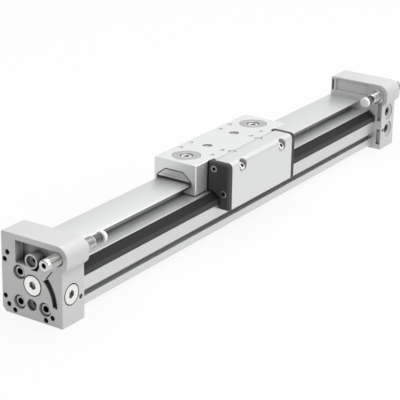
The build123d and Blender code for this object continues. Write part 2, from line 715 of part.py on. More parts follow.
# Rings side by side in the piston's grooves, one of each kind at both ends
ring_rims = {"piston_seals": BORE_FIT, "piston_magnets": 3 * BORE_FIT, "wear_rings": 1.5 * BORE_FIT}
start = RING_START
for label, width in RING_WIDTHS.items():
    with BuildPart() as rings:
        for x in (piston_front + start, piston_front + PISTON_LENGTH - start - width):
            with BuildSketch(section(x + SEAT_FIT)):
                with Locations((0, BORE_HEIGHT)):
                    Circle(bore_radius - ring_rims[label])
                    Circle(bore_radius - GASKET_SECTION + SEAT_FIT, mode=Mode.SUBTRACT)
            extrude(amount=width - 2 * SEAT_FIT)
    rings.part.label = label
    export_step(rings.part, f"parts/{label}.step")
    start += width

# Yoke: foot in the piston, blade through the slot, flange in the driver
with BuildPart() as yoke:
    with BuildSketch(slot_section(CARRIAGE_CENTRE - YOKE_LENGTH / 2)):
        with Locations((foot_low, 0)):
            Rectangle(YOKE_FOOT, 2 * YOKE_FOOT_HALF, align=(Align.MIN, Align.CENTER))
            Rectangle(
                flange_low + YOKE_FLANGE - foot_low, YOKE_BLADE, align=(Align.MIN, Align.CENTER)
            )
        with Locations((flange_low, 0)):
            Rectangle(YOKE_FLANGE, 2 * YOKE_FLANGE_HALF, align=(Align.MIN, Align.CENTER))
    extrude(amount=YOKE_LENGTH)
yoke.part.label = "piston_yoke"
export_step(yoke.part, "parts/piston_yoke.step")

# Slide block
channel_sides = [
    (CHANNEL_ROOF_HALF, roof_height),
    *[(RAIL_HALF + beyond, RAIL_TOP + above) for beyond, above in CHANNEL_SHOULDERS],
]
channel_tip, channel_neck = undercut(CHANNEL_GAP)
channel_mouth = (RAIL_NECK_HALF + CHANNEL_MOUTH, SLIDE_BOTTOM)
channel = both_sides([*channel_sides, channel_tip, channel_neck, channel_mouth])
slide_width = slide_back - slide_side
slide_height = SLIDE_TOP - SLIDE_BOTTOM
with BuildPart() as slide:
    with BuildSketch(section(slide_front)) as slide_face:
        with Locations((slide_side, SLIDE_BOTTOM)):
            Rectangle(slide_width, slide_height, align=Align.MIN)
        chamfer(slide_face.vertices(), SLIDE_EDGE)
    extrude(amount=SLIDE_LENGTH)
    chamfer(slide.edges().filter_by(Axis.Z), SLIDE_EDGE)
    with BuildSketch(section(CARRIAGE_CENTRE - LAND_LENGTH / 2)):
        with Locations((slide_side + SLIDE_EDGE, SLIDE_TOP)):
            Rectangle(LAND_WIDTH + SLIDE_EDGE, SLIDE_TOP - LAND_BOTTOM, align=Align.MAX)
    extrude(amount=LAND_LENGTH)
    with BuildSketch(section(slide_front)):
        Polygon(*channel, align=None)
    extrude(amount=SLIDE_LENGTH, mode=Mode.SUBTRACT)
    with Locations((CARRIAGE_CENTRE, RAIL_CENTRE, SLIDE_TOP)):
        for spacing in SLIDE_THREAD_X:
            with GridLocations(spacing, SLIDE_THREAD_Y, 2, 2):
                Hole(SLIDE_THREAD / 2, depth=SLIDE_THREAD_DEPTH)
        with GridLocations(CENTRING_SPACING, 1, 2, 1):
            CounterBoreHole(
                CENTRING_THREAD / 2, CENTRING_DIAMETER / 2, CENTRING_DEPTH, depth=CENTRING_THREAD_DEPTH
            )
        with GridLocations(DISC_SPACING, 1, 2, 1):
            CounterBoreHole(
                ADJUSTER_DIAMETER / 2 + SEAT_FIT,
                DISC_DIAMETER / 2 + SEAT_FIT,
                DISC_THICKNESS,
                depth=SLIDE_TOP - carrier_top,
            )
    with BuildSketch(Plane.XY.offset(SLIDE_TOP)):
        with Locations((CARRIAGE_CENTRE, seam_y - SEAM / 2)):
            with GridLocations(DOWEL_SPACING, 1, 2, 1):
                Circle(DOWEL_DIAMETER / 2 + SEAT_FIT)
    extrude(amount=-DOWEL_LENGTH - DOWEL_SINK, mode=Mode.SUBTRACT)
slide.part.label = "slide_block"
export_step(slide.part, "parts/slide_block.step")

# Guide inserts in the channel, the same at both ends of the slide
liner_end = (channel_neck[0] + LINER_LIP, channel_neck[1] + LINER_LIP * undercut_slope)
liner = both_sides([*channel_sides, channel_tip, liner_end])
carrier = both_sides(
    [
        (CHANNEL_ROOF_HALF - CARRIER_INSET[0], carrier_top),
        (RAIL_HALF - CARRIER_INSET[1], RAIL_TOP + CARRIER_RISE),
    ]
)
for end, out in (("front", -1), ("rear", 1)):
    face_x = CARRIAGE_CENTRE + out * SLIDE_LENGTH / 2
    with BuildPart() as pad_carrier:
        with BuildSketch(section(face_x)):
            Polygon(*carrier, align=None)
        extrude(amount=-out * CARRIER_LENGTH)
    pad_carrier.part.label = f"{end}_pad_carrier"
    export_step(pad_carrier.part, f"parts/{end}_pad_carrier.step")

    with BuildPart() as rail_wiper:
        with BuildSketch(section(face_x)):
            Polygon(*liner, align=None)
            Polygon(*carrier, align=None, mode=Mode.SUBTRACT)
            Polygon(*rail_head(GUIDE_GAP), align=None, mode=Mode.SUBTRACT)
        extrude(amount=-out * WIPER_LENGTH)
    rail_wiper.part.label = f"{end}_rail_wiper"
    export_step(rail_wiper.part, f"parts/{end}_rail_wiper.step")

    with BuildPart() as guide_liner:
        with BuildSketch(section(face_x - out * WIPER_LENGTH)):
            Polygon(*liner, align=None)
            Polygon(*carrier, align=None, mode=Mode.SUBTRACT)
            Polygon(*rail_head(GUIDE_GAP), align=None, mode=Mode.SUBTRACT)
        extrude(amount=-out * (CARRIER_LENGTH - WIPER_LENGTH))
        with Locations((CARRIAGE_CENTRE + out * DISC_SPACING / 2, RAIL_CENTRE, roof_height)):
            Hole(ADJUSTER_DIAMETER / 2 + SEAT_FIT, depth=CARRIER_COVER)
    guide_liner.part.label = f"{end}_guide_liner"
    export_step(guide_liner.part, f"parts/{end}_guide_liner.step")

with BuildPart() as discs:
    with BuildSketch(Plane.XY.offset(SLIDE_TOP)):
        with Locations((CARRIAGE_CENTRE, RAIL_CENTRE)):
            with GridLocations(DISC_SPACING, 1, 2, 1):
                Circle(DISC_DIAMETER / 2)
                Circle(ADJUSTER_DIAMETER / 2 + SEAT_FIT, mode=Mode.SUBTRACT)
    extrude(amount=-DISC_THICKNESS)
discs.part.label = "adjuster_discs"
export_step(discs.part, "parts/adjuster_discs.step")

with BuildPart() as adjusters:
    with BuildSketch(Plane.XY.offset(SLIDE_TOP - ADJUSTER_SINK)):
        with Locations((CARRIAGE_CENTRE, RAIL_CENTRE)):
            with GridLocations(DISC_SPACING, 1, 2, 1):
                Circle(ADJUSTER_DIAMETER / 2)
    extrude(amount=carrier_top - SLIDE_TOP + ADJUSTER_SINK)
    with BuildSketch(Plane.XY.offset(SLIDE_TOP - ADJUSTER_SINK)):
        with Locations((CARRIAGE_CENTRE, RAIL_CENTRE)):
            with GridLocations(DISC_SPACING, 1, 2, 1):
                RegularPolygon(across_corners(ADJUSTER_KEY), 6)
    extrude(amount=-ADJUSTER_KEY_DEPTH, mode=Mode.SUBTRACT)
adjusters.part.label = "adjuster_screws"
export_step(adjusters.part, "parts/adjuster_screws.step")

# Driver: cover, frame inside it and the plates at both ends
driver_near = seam_y - SEAM
body_top = SLIDE_TOP - COVER_ROOF
dowel_y = seam_y - SEAM / 2


def cover_screw_plane(x, depth):
    """Plane square to a cover screw, facing out, at a depth along it below the driver's side."""
    across = cos(radians(COVER_SCREW_ANGLE))
    rise = sin(radians(COVER_SCREW_ANGLE))
    mouth_z = SLIDE_TOP - COVER_SCREW_DROP
    return Plane(
        origin=(x, driver_side + depth * across, mouth_z - depth * rise),
        x_dir=(1, 0, 0),
        z_dir=(0, -across, rise),
    )


def dowel_notches():
    """Half round notches for the two dowels on the seam between slide and driver."""
    with BuildSketch(Plane.XY.offset(SLIDE_TOP)) as notches:
        with Locations((CARRIAGE_CENTRE, dowel_y)):
            with GridLocations(DOWEL_SPACING, 1, 2, 1):
                Circle(DOWEL_DIAMETER / 2 + SEAT_FIT)
    extrude(notches.sketch, amount=-DOWEL_LENGTH - DOWEL_SINK, mode=Mode.SUBTRACT)


cover_screw_xs = (CARRIAGE_CENTRE - COVER_SCREW_SPACING / 2, CARRIAGE_CENTRE + COVER_SCREW_SPACING / 2)
with BuildPart() as driver_cover:
    with BuildSketch(section(cover_front)) as cover_face:
        Polygon(
            (driver_near, SLIDE_TOP),
            (driver_side, SLIDE_TOP),
            (driver_side, DRIVER_BOTTOM),
            (body_side, DRIVER_BOTTOM),
            (body_side, body_top - COVER_BEVEL),
            (body_side + COVER_BEVEL, body_top),
            (driver_near, body_top),
            align=None,
        )
        fillet(cover_face.vertices().group_by(Axis.Y)[-1].sort_by(Axis.X)[0], DRIVER_EDGE_RADIUS)
    extrude(amount=COVER_LENGTH)
    for x in cover_screw_xs:
        with BuildSketch(cover_screw_plane(x, COVER_SCREW_FLOOR)):
            Circle(COVER_SCREW_SEAT / 2)
        extrude(amount=COVER_SCREW_SEAT, mode=Mode.SUBTRACT)
        drill(cover_screw_plane(x, 0), SMALL_SCREW / 2 + SEAT_FIT, COVER_SCREW_FLOOR + COVER_SCREW_LENGTH)
    dowel_notches()
driver_cover.part.label = "driver_cover"
export_step(driver_cover.part, "parts/driver_cover.step")

with BuildPart() as cover_screws:
    for x in cover_screw_xs:
        with BuildSketch(cover_screw_plane(x, COVER_SCREW_FLOOR)):
            Circle(COVER_SCREW_HEAD / 2)
        extrude(amount=COVER_SCREW_HEAD_HEIGHT)
        with BuildSketch(cover_screw_plane(x, COVER_SCREW_FLOOR)):
            Circle(SMALL_SCREW / 2)
        extrude(amount=-COVER_SCREW_LENGTH)
        with BuildSketch(cover_screw_plane(x, COVER_SCREW_FLOOR - COVER_SCREW_HEAD_HEIGHT)):
            RegularPolygon(across_corners(SMALL_SCREW_KEY), 6)
        extrude(amount=-COVER_SCREW_KEY_DEPTH, mode=Mode.SUBTRACT)
cover_screws.part.label = "driver_cover_screws"
export_step(cover_screws.part, "parts/driver_cover_screws.step")

window_front = CARRIAGE_CENTRE - flat_half - BAND_RAMP - WINDOW_ROOM
window_length = 2 * (CARRIAGE_CENTRE - window_front)
with BuildPart() as driver_body:
    with BuildSketch(section(cover_front)):
        Polygon(
            (driver_near, body_top - SEAT_FIT),
            (body_side + COVER_BEVEL, body_top - SEAT_FIT),
            (body_side + SEAT_FIT, body_top - COVER_BEVEL),
            (body_side + SEAT_FIT, DRIVER_BOTTOM),
            (band_clear[1][0], DRIVER_BOTTOM),
            band_clear[1],
            band_clear[2],
            (driver_near, band_clear[2][1]),
            align=None,
        )
    extrude(amount=COVER_LENGTH)
    with BuildSketch(slot_section(window_front)):
        with Locations((bore_radius, 0)):
            Rectangle(CAP_HEIGHT, 2 * WINDOW_HALF, align=(Align.MIN, Align.CENTER))
    extrude(amount=window_length, mode=Mode.SUBTRACT)
    with BuildSketch(slot_section(CARRIAGE_CENTRE - YOKE_LENGTH / 2 - SEAT_FIT)):
        with Locations((flange_low + YOKE_FLANGE + SEAT_FIT, 0)):
            Rectangle(bore_radius, 2 * (YOKE_FLANGE_HALF + SEAT_FIT), align=(Align.MAX, Align.CENTER))
    extrude(amount=YOKE_LENGTH + 2 * SEAT_FIT, mode=Mode.SUBTRACT)
    cover_screw_depth = COVER_SCREW_FLOOR + COVER_SCREW_LENGTH + SMALL_SCREW_ROOM
    for x in cover_screw_xs:
        drill(cover_screw_plane(x, 0), SMALL_SCREW / 2 + SEAT_FIT, cover_screw_depth)
    for x, inward in ((cover_front, 1), (cover_front + COVER_LENGTH, -1)):
        with BuildSketch(section(x)):
            with Locations(*plate_screw_points):
                Circle(SMALL_SCREW / 2 + SEAT_FIT)
        extrude(amount=inward * (SMALL_SCREW_BITE + SMALL_SCREW_ROOM), mode=Mode.SUBTRACT)
    dowel_notches()
driver_body.part.label = "driver_body"
export_step(driver_body.part, "parts/driver_body.step")

for end, out in (("front", -1), ("rear", 1)):
    joint_x = CARRIAGE_CENTRE + out * COVER_LENGTH / 2
    with BuildPart() as driver_cap:
        with BuildSketch(section(joint_x)) as plate_face:
            Polygon(
                (plate_near, SLIDE_TOP),
                (driver_side, SLIDE_TOP),
                (driver_side, DRIVER_BOTTOM),
                (band_clear[1][0], DRIVER_BOTTOM),
                band_clear[1],
                band_clear[2],
                (plate_near, band_clear[2][1]),
                align=None,
            )
            fillet(plate_face.vertices().group_by(Axis.Y)[-1].sort_by(Axis.X)[0], DRIVER_EDGE_RADIUS)
        extrude(amount=out * DRIVER_CAP_LENGTH)
        chamfer(driver_cap.faces().sort_by(Axis.X)[0 if out < 0 else -1].edges(), PLATE_EDGE)
        with BuildSketch(section(joint_x + out * DRIVER_CAP_LENGTH)):
            with Locations(*plate_screw_points):
                Circle(SMALL_SCREW_HEAD / 2 + SEAT_FIT)
        extrude(amount=-out * SMALL_SCREW, mode=Mode.SUBTRACT)
        with BuildSketch(section(joint_x)):
            with Locations(*plate_screw_points):
                Circle(SMALL_SCREW / 2 + SEAT_FIT)
        extrude(amount=out * DRIVER_CAP_LENGTH, mode=Mode.SUBTRACT)
    driver_cap.part.label = f"{end}_driver_cap"
    export_step(driver_cap.part, f"parts/{end}_driver_cap.step")

    # Wedge that presses the cover band back into its seat behind the yoke
    ramp_end = CARRIAGE_CENTRE + out * flat_half
    ramp_start = ramp_end + out * BAND_RAMP
    rise = COVER_BAND_LIFT / BAND_RAMP
    wedge_high = -crest - RUN_GAP - SEAT_FIT
    wedge_end = ramp_start - out * BAND_RAMP * GUIDE_WEDGE_SHARE
    with BuildPart() as band_guide:
        with BuildSketch(Plane(origin=(0, 0, BORE_HEIGHT), x_dir=(1, 0, 0), z_dir=(0, out_z, -out_y))):
            Polygon(
                (ramp_start, wedge_high),
                (ramp_start, wedge_high - GUIDE_WEDGE_TOP),
                (wedge_end, wedge_high - GUIDE_WEDGE_TOP),
                (wedge_end, wedge_high - BAND_RAMP * GUIDE_WEDGE_SHARE * rise),
                align=None,
            )
        extrude(amount=WINDOW_HALF - SEAT_FIT, both=True)
        with BuildSketch(section(ramp_start)):
            Polygon(
                (body_side + SEAT_FIT, BORE_HEIGHT),
                (body_side + SEAT_FIT, body_top - COVER_BEVEL),
                (driver_near, body_top - COVER_BEVEL),
                (driver_near, BORE_HEIGHT),
                align=None,
            )
        extrude(amount=-out * BAND_RAMP, mode=Mode.INTERSECT)
    band_guide.part.label = f"{end}_band_guide"
    export_step(band_guide.part, f"parts/{end}_band_guide.step")

with BuildPart() as plate_screws:
    for out in (-1, 1):
        sunk_screws(
            CARRIAGE_CENTRE + out * (COVER_LENGTH / 2 + DRIVER_CAP_LENGTH),
            out,
            plate_screw_points,
            SMALL_SCREW_HEAD,
            SMALL_SCREW,
            SMALL_SCREW,
            DRIVER_CAP_LENGTH - SMALL_SCREW + SMALL_SCREW_BITE,
            SMALL_SCREW_KEY,
        )
plate_screws.part.label = "driver_cap_screws"
export_step(plate_screws.part, "parts/driver_cap_screws.step")

with BuildPart() as dowels:
    with BuildSketch(Plane.XY.offset(SLIDE_TOP - DOWEL_SINK)):
        with Locations((CARRIAGE_CENTRE, dowel_y)):
            with GridLocations(DOWEL_SPACING, 1, 2, 1):
                Circle(DOWEL_DIAMETER / 2)
    extrude(amount=-DOWEL_LENGTH)
dowels.part.label = "driver_dowels"
export_step(dowels.part, "parts/driver_dowels.step")
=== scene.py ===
"""Visual model of a rodless pneumatic cylinder with a guided slide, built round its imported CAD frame.

Laid out as an add-on: sizes and colours are properties, each piece or group of like pieces is an
operator, and a panel in the sidebar lists them. Run as a script, it makes every piece in order.
"""
import json
from math import ceil, cos, pi, radians, sin

import bmesh
import bpy
import numpy as np
from bpy.props import FloatProperty, FloatVectorProperty, PointerProperty
from mathutils import Matrix, Vector


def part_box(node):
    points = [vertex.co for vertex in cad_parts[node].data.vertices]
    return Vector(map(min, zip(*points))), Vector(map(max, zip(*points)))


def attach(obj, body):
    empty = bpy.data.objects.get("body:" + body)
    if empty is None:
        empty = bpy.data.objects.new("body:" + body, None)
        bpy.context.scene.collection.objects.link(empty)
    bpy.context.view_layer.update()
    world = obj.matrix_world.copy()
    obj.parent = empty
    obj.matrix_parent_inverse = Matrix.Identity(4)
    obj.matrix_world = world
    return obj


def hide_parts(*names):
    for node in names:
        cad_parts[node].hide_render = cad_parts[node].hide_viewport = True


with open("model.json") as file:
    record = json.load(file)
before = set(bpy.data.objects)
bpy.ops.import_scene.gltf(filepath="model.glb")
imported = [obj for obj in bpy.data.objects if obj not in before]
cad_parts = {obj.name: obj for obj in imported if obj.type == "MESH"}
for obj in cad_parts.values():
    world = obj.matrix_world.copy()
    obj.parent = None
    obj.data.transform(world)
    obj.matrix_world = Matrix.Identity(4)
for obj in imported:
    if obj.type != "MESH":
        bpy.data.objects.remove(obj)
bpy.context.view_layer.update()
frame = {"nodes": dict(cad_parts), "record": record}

bl_info = {
    "name": "Rodless cylinder looks",
    "version": (1, 0, 0),
    "blender": (4, 5, 0),
    "location": "View3D > Sidebar > Rodless cylinder",
    "description": "Builds the visible pieces and finishes of a rodless pneumatic cylinder",
    "category": "Object",
}

MM = 0.001
BODY_OF = {node: body for body, members in frame["record"]["behaviour"]["bodies"].items() for node in members}
MOUNTS = {mount["name"]: mount for mount in frame["record"]["mounts"]}

# Directions that the turned pieces face, each with the two directions across it
FRONT = np.array([[-1, 0, 0], [0, -1, 0], [0, 0, 1]], float)
REAR = np.array([[1, 0, 0], [0, 1, 0], [0, 0, 1]], float)
SIDE = np.array([[0, -1, 0], [1, 0, 0], [0, 0, 1]], float)
UP = np.array([[0, 0, 1], [1, 0, 0], [0, 1, 0]], float)
SLANT_ANGLE = radians(40)
SLANT = np.array(
    [[0, -cos(SLANT_ANGLE), sin(SLANT_ANGLE)], [1, 0, 0], [0, sin(SLANT_ANGLE), cos(SLANT_ANGLE)]], float
)

# Camera of the photograph, in millimetres, degrees and pixels of its 400 pixel frame
CAMERA_PLACE = (-1095.83, -702.16, 520.52)
CAMERA_AZIMUTH = -55.833
CAMERA_ELEVATION = 19.962
CAMERA_ROLL = 0.852
CAMERA_FOCAL = 1535.49
CAMERA_SHIFT = (12.38, -35.32)
FRAME_PIXELS = 400
SENSOR_WIDTH = 36.0

# Faces of a CAD node that meet at more than this angle have an edge between them
EDGE_ANGLE = radians(24)

# Cover band, as (y, z) in millimetres: where it starts, folds and ends beside the barrel
BAND_FOOT = 29.25
BAND_FOLD = 34.3
BAND_TOP = (-14.8, 39.5)

# Sealing band: angle of the slot above the horizontal, height of the bore's axis, distance from
# that axis, half width and thickness
SLOT_ANGLE = radians(28)
BORE_HEIGHT = 24.5
SEAL_REACH = 12.6
SEAL_HALF = 4.4
SEAL_THICKNESS = 0.75

# Screws of one kind: height of the head, radius of the shank and width of the key, in millimetres
CAP_SCREW = (6, 3, 5)
DRIVER_CAP_SCREW = (4, 2, 3)
COVER_SCREW = (2.6, 2, 3)
SMALL_RIM = 0.35 * MM

# Width of a socket's mouth over that of its key
SOCKET_MOUTH = 1.08

# Threaded holes: radii, how far in from the mouth a thread starts, and where it ends
SMALL_THREAD = 2.5 * MM
LARGE_THREAD = 3 * MM
THREAD_LEAD = 0.4 * MM
SLIDE_THREAD_REACH = (0.5 * MM, 9.9 * MM)
BORE_THREAD_END = 4.8 * MM
CAP_THREAD_END = 10.9 * MM

# Painted shade in a seam beside another piece: reach in millimetres, colour of the painted shade, least open
# share, own walls only
SEAM_SHADE = (2.2, "#3c3e3e", 0.3, False)

# Soft boxes: name, place, size in metres and power in watts
LAMPS = (("Top light", (0.2, -0.1, 1.7), 1.8, 16.0), ("Side light", (0.3, -1.7, 0.7), 1.4, 7.0))

# Light of the room: its level, how it grows along X, Y and Z, and the least that it falls to
ROOM_LEVEL = 0.6
ROOM_SLOPES = (("X", 0.34), ("Y", -0.12), ("Z", 0.3))
ROOM_LEAST = 0.1

# Its dark horizon: the heights of a direction at which it is darkest and gone, and its darkest share
HORIZON_LOW = 0.03
HORIZON_HIGH = 0.2
HORIZON_DARK = 0.1

# Floor: radius and depth below the object in metres, and the share of its light that the camera and
# mirrored rays see as pure white
FLOOR_RADIUS = 6
FLOOR_DROP = 0.0002
FLOOR_GLOW = 0.88


def linear(code):
    """Linear colour, with an alpha of 1, from an sRGB hex value such as "#c0c0c0"."""
    parts = np.array([int(code[i : i + 2], 16) for i in (1, 3, 5)]) / 255
    curved = np.where(parts <= 0.04045, parts / 12.92, ((parts + 0.055) / 1.055) ** 2.4)
    return (*curved.tolist(), 1.0)


def colour(name, description, code):
    """Colour property with a linear default."""
    return FloatVectorProperty(
        name=name, description=description, default=linear(code), size=4, subtype="COLOR", min=0, max=1
    )


def length(name, description, millimetres):
    """Length property, kept in metres."""
    return FloatProperty(
        name=name, description=description, default=millimetres * MM, unit="LENGTH", subtype="DISTANCE", min=0
    )


class CylinderColours(bpy.types.PropertyGroup):
    """Colours of the finishes."""

    barrel: colour("Barrel", "Clear anodised aluminium extrusion", "#d9dada")
    caps: colour("End caps", "Shot-blasted and anodised castings", "#d1d2d1")
    slide: colour("Slide", "Milled and anodised aluminium", "#e8e9e9")
    cover: colour("Driver cover", "Anodised aluminium extrusion", "#e1e2e2")
    plating: colour("Plugs", "Nickel-plated brass", "#f2f1ee")
    screws: colour("Screws", "Zinc-plated steel", "#b0b2b3")
    absorbers: colour("Shock absorbers", "Bright plated steel", "#d2d2d0")
    rods: colour("Absorber rods", "Hardened and ground steel", "#6a6c6e")
    buffers: colour("Buffers", "White polyurethane", "#f0f0ec")
    band: colour("Cover band", "Black extruded polyurethane, upper facet", "#1e201e")
    # Painted sheen: the lower facet of the cover band is drawn lighter, as light falls on it
    lower_facet_sheen: colour("Cover band side", "Painted sheen on the lower facet of the cover band", "#3c3e3c")
    moulded: colour("Driver end plates", "Black moulded nylon", "#3e403e")
    guides: colour("Guide liners", "Acetal sliding parts", "#303231")
    carriers: colour("Pad carriers", "Milled aluminium clamping strips", "#d5d6d5")
    discs: colour("Discs", "Light grey discs round the adjusters", "#c2c3c3")
    rubber: colour("Seals", "Black nitrile rubber", "#1d1e1e")
    piston: colour("Piston", "Grey moulded acetal", "#4a4c50")
    magnets: colour("Magnets", "Sintered ring magnets", "#38393b")
    tapped: colour("Threads", "Threads inside the slide's holes", "#e8e9e9")
    dowels: colour("Dowels", "Ground dowel pins", "#d4d5d5")
    # Painted shade: a flat dark colour for the insides of hexagon sockets and the gap rings round heads
    painted_shade: colour("Sockets", "Painted shade inside hexagon sockets and in the gaps round heads", "#343536")
    ground: colour("Floor", "Pale studio floor", "#dfdfdf")


class CylinderSizes(bpy.types.PropertyGroup):
    """Sizes of what the CAD frame leaves plain."""

    machined_edge: length("Machined edge", "Width of the broken edges on milled and extruded pieces", 0.35)
    cast_edge: length("Cast edge", "Width of the soft edges on the castings", 0.35)
    moulded_edge: length("Moulded edge", "Width of the soft edges on the plastic pieces", 0.2)
    screw_edge: length("Screw edge", "Rounding of a screw head's rim", 0.45)
    absorber_pitch: length("Absorber pitch", "Pitch of the shock absorber's fine thread", 1.0)
    hole_pitch: length("Hole pitch", "Pitch of the threaded mounting holes", 0.8)
    port_pitch: length("Port pitch", "Pitch of the threads in the air ports", 0.907)
    nut_flats: length("Nut width", "Width across flats of the shock absorber's nut", 13.0)
    band_thickness: length("Band thickness", "Thickness of the cover band", 1.6)


def sizes():
    return bpy.context.scene.cylinder_sizes


def colours():
    return bpy.context.scene.cylinder_colours


def box(node):
    """Lowest and highest corner of a CAD node, in metres, as two arrays."""
    low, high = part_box(node)
    return np.array(low), np.array(high)


def read(elements, field, kind, width=1):
    """One field of a mesh's elements as an array, with a row of that width for each."""
    values = np.empty(len(elements) * width, kind)
    elements.foreach_get(field, values)
    return values.reshape(-1, width)


def merged(node):
    """Points of a CAD node with its doubles merged, and the point numbers of its triangles."""
    mesh = frame["nodes"][node].data
    points = read(mesh.vertices, "co", float, 3)
    corners = read(mesh.loops, "vertex_index", int).reshape(-1, 3)
    points, place = np.unique(points.round(7), axis=0, return_inverse=True)
    return points, place.reshape(-1)[corners]


def solids(node):
    """Boxes of the separate solids in a CAD node, in metres, ordered by their centres.

    Every point takes the lowest number among the points that share a triangle with it, until
    nothing changes, so the points of one solid end with one number.
    """
    points, triangles = merged(node)
    label = np.arange(len(points))
    changed = True
    while changed:
        lowest = np.repeat(label[triangles].min(axis=1), 3)
        spread = label.copy()
        np.minimum.at(spread, triangles.ravel(), lowest)
        changed = bool((spread != label).any())
        label = spread
    groups = [points[label == i] for i in np.unique(label)]
    found = [(group.min(axis=0), group.max(axis=0)) for group in groups]
    return sorted(found, key=lambda pair: tuple((pair[0] + pair[1]).round(5)))


def round_box(low, high, directions):
    """Round piece of a box as (centre, outer end, inner end, radius), along the first direction.

    The centre is 0 along the axis, and both ends are distances outward from there.
    """
    axis = int(np.abs(directions[0]).argmax())
    out = directions[0][axis]
    centre = (low + high) / 2
    centre[axis] = 0
    outer, inner = sorted((out * low[axis], out * high[axis]), reverse=True)
    across = 0 if axis == 2 else 2
    return centre, outer, inner, (high[across] - low[across]) / 2


# Surfaces


def quads(rows, columns):
    """Corner numbers of every face of a grid."""
    corner = np.arange(rows * columns).reshape(rows, columns)
    around = [corner[:-1, :-1], corner[:-1, 1:], corner[1:, 1:], corner[1:, :-1]]
    return np.stack(around, axis=-1).reshape(-1, 4)


def off_flat(angle):
    """Angle from the middle of the nearest of a hexagon's six flats."""
    return (angle + pi / 6) % (pi / 3) - pi / 6


def turned(centre, directions, stations, columns=48):
    """Surface of revolution: each station is (along, radius, hexagon), in metres outward from centre.

    At angle a the radius is that of the station where hexagon is 0. Where it is 1 the radius is
    half the width across flats, over the cosine of the angle from the middle of the nearest flat.
    """
    stations = np.array(stations, float)
    angle = np.linspace(0, 2 * pi, columns + 1)
    shape = 1 + stations[:, 2:3] * (1 / np.cos(off_flat(angle)) - 1)
    radius = stations[:, 1:2] * shape
    return placed(centre, directions, stations[:, 0:1] + 0 * radius, radius, angle)


def placed(centre, directions, along, radius, angle):
    """Grid of points at distances along and out from an axis, with the path length as its UV height."""
    points = (
        np.array(centre)
        + along[..., None] * directions[0]
        + (radius * np.cos(angle))[..., None] * directions[1]
        + (radius * np.sin(angle))[..., None] * directions[2]
    )
    step = np.hypot(np.diff(along[:, 0]), np.diff(radius[:, 0]))
    path = np.concatenate([[0], np.cumsum(step)])
    uv = np.stack(np.broadcast_arrays(angle[None, :] / (2 * pi), path[:, None]), axis=-1)
    return points, uv


def thread_wave(along, angle, pitch):
    """Rounded trapezium wave of the turns made, from 1 to 0 and back once in each turn.

    The turns made are the distance along over the pitch, less the angle over a full turn.
    """
    turns = (along / pitch - angle / (2 * pi)) % 1
    return np.clip(2 * np.abs(2 * turns - 1) - 0.5, 0, 1)


def threaded(centre, directions, start, end, radius, depth, pitch, columns=48, steps=6):
    """Helical thread on a cylinder, closed at both ends on the axis.

    The radius falls below the crest by the depth times the thread's wave, which fades to 0.6 over
    half a pitch at each end.
    """
    rows = ceil(abs(end - start) / pitch * steps) + 1
    angle = np.linspace(0, 2 * pi, columns + 1)
    along = np.linspace(start, end, rows)[:, None] + 0 * angle[None, :]
    wave = thread_wave(along, angle, pitch)
    nearest = np.minimum(np.abs(along - start), np.abs(along - end))
    fade = np.clip(nearest / (pitch / 2), 0, 1)
    outer = radius - depth * (wave * fade + (1 - fade) * 0.6)
    along = np.vstack([along[:1], along, along[-1:]])
    outer = np.vstack([0 * outer[:1], outer, 0 * outer[-1:]])
    return placed(centre, directions, along, outer, angle)


def strip(outer, inner, lengths):
    """Closed strip along X between two matching outlines, (y, z) in metres, as six grids.

    Its faces are the outer and the inner outline carried along X, the two edges and the two ends.
    """
    outer = np.array(outer, float)
    inner = np.array(inner, float)
    xs = np.array(lengths, float)

    def carried(outline):
        x, index = np.meshgrid(xs, np.arange(len(outline)), indexing="ij")
        return np.concatenate([x[..., None], outline[index]], axis=-1)

    grids = [carried(outer), carried(inner)]
    grids += [carried(np.array([outer[end], inner[end]])) for end in (0, -1)]
    for end in (0, -1):
        faces = np.stack([outer, inner])
        grids.append(np.concatenate([np.full((*faces.shape[:2], 1), xs[end]), faces], axis=-1))
    return [(grid, grid[..., :2]) for grid in grids]


def rounded(points, radius, steps=6):
    """Open outline with its inner corners as arcs of the radius, tangent to both sides."""
    points = [np.array(point, float) for point in points]
    path = [points[0][None]]
    for before, corner, after in zip(points, points[1:], points[2:]):
        inward = (before - corner) / np.linalg.norm(before - corner)
        outward = (after - corner) / np.linalg.norm(after - corner)
        half = np.arccos(np.clip(inward @ outward, -1, 1)) / 2
        middle = corner + (inward + outward) / np.linalg.norm(inward + outward) * radius / sin(half)
        start = corner + inward * radius / np.tan(half) - middle
        end = corner + outward * radius / np.tan(half) - middle
        share = np.linspace(0, 1, steps + 1)[:, None]
        sweep = np.arccos(np.clip(start @ end / radius**2, -1, 1))
        bend = np.sin((1 - share) * sweep) * start + np.sin(share * sweep) * end
        path.append(middle + bend / np.sin(sweep))
    return np.vstack([*path, points[-1][None]])


def tapped(centre, directions, mouth, floor, radius, pitch, columns=32, steps=5):
    """Thread inside a hole, as a sleeve closed on itself: plain outside, with a helical groove inside.

    The outer wall is the hole's radius less a hair. The inner wall stands in by 0.6 of the pitch
    times one minus the thread's wave, and less than that within a pitch of the mouth.
    """
    rows = ceil(abs(mouth - floor) / pitch * steps) + 1
    angle = np.linspace(0, 2 * pi, columns + 1)
    along = np.linspace(floor, mouth, rows)[:, None] + 0 * angle[None, :]
    wave = thread_wave(along, angle, pitch)
    wall = radius - 0.01 * MM
    inner = wall - 0.05 * MM - 0.6 * pitch * (1 - wave) * np.clip((mouth - along) / pitch, 0, 1)
    along = np.vstack([along[:1], along, along[-1:], along[:1]])
    radius = np.vstack([wall + 0 * inner[:1], inner, wall + 0 * inner[:1], wall + 0 * inner[:1]])
    return placed(centre, directions, along, radius, angle)


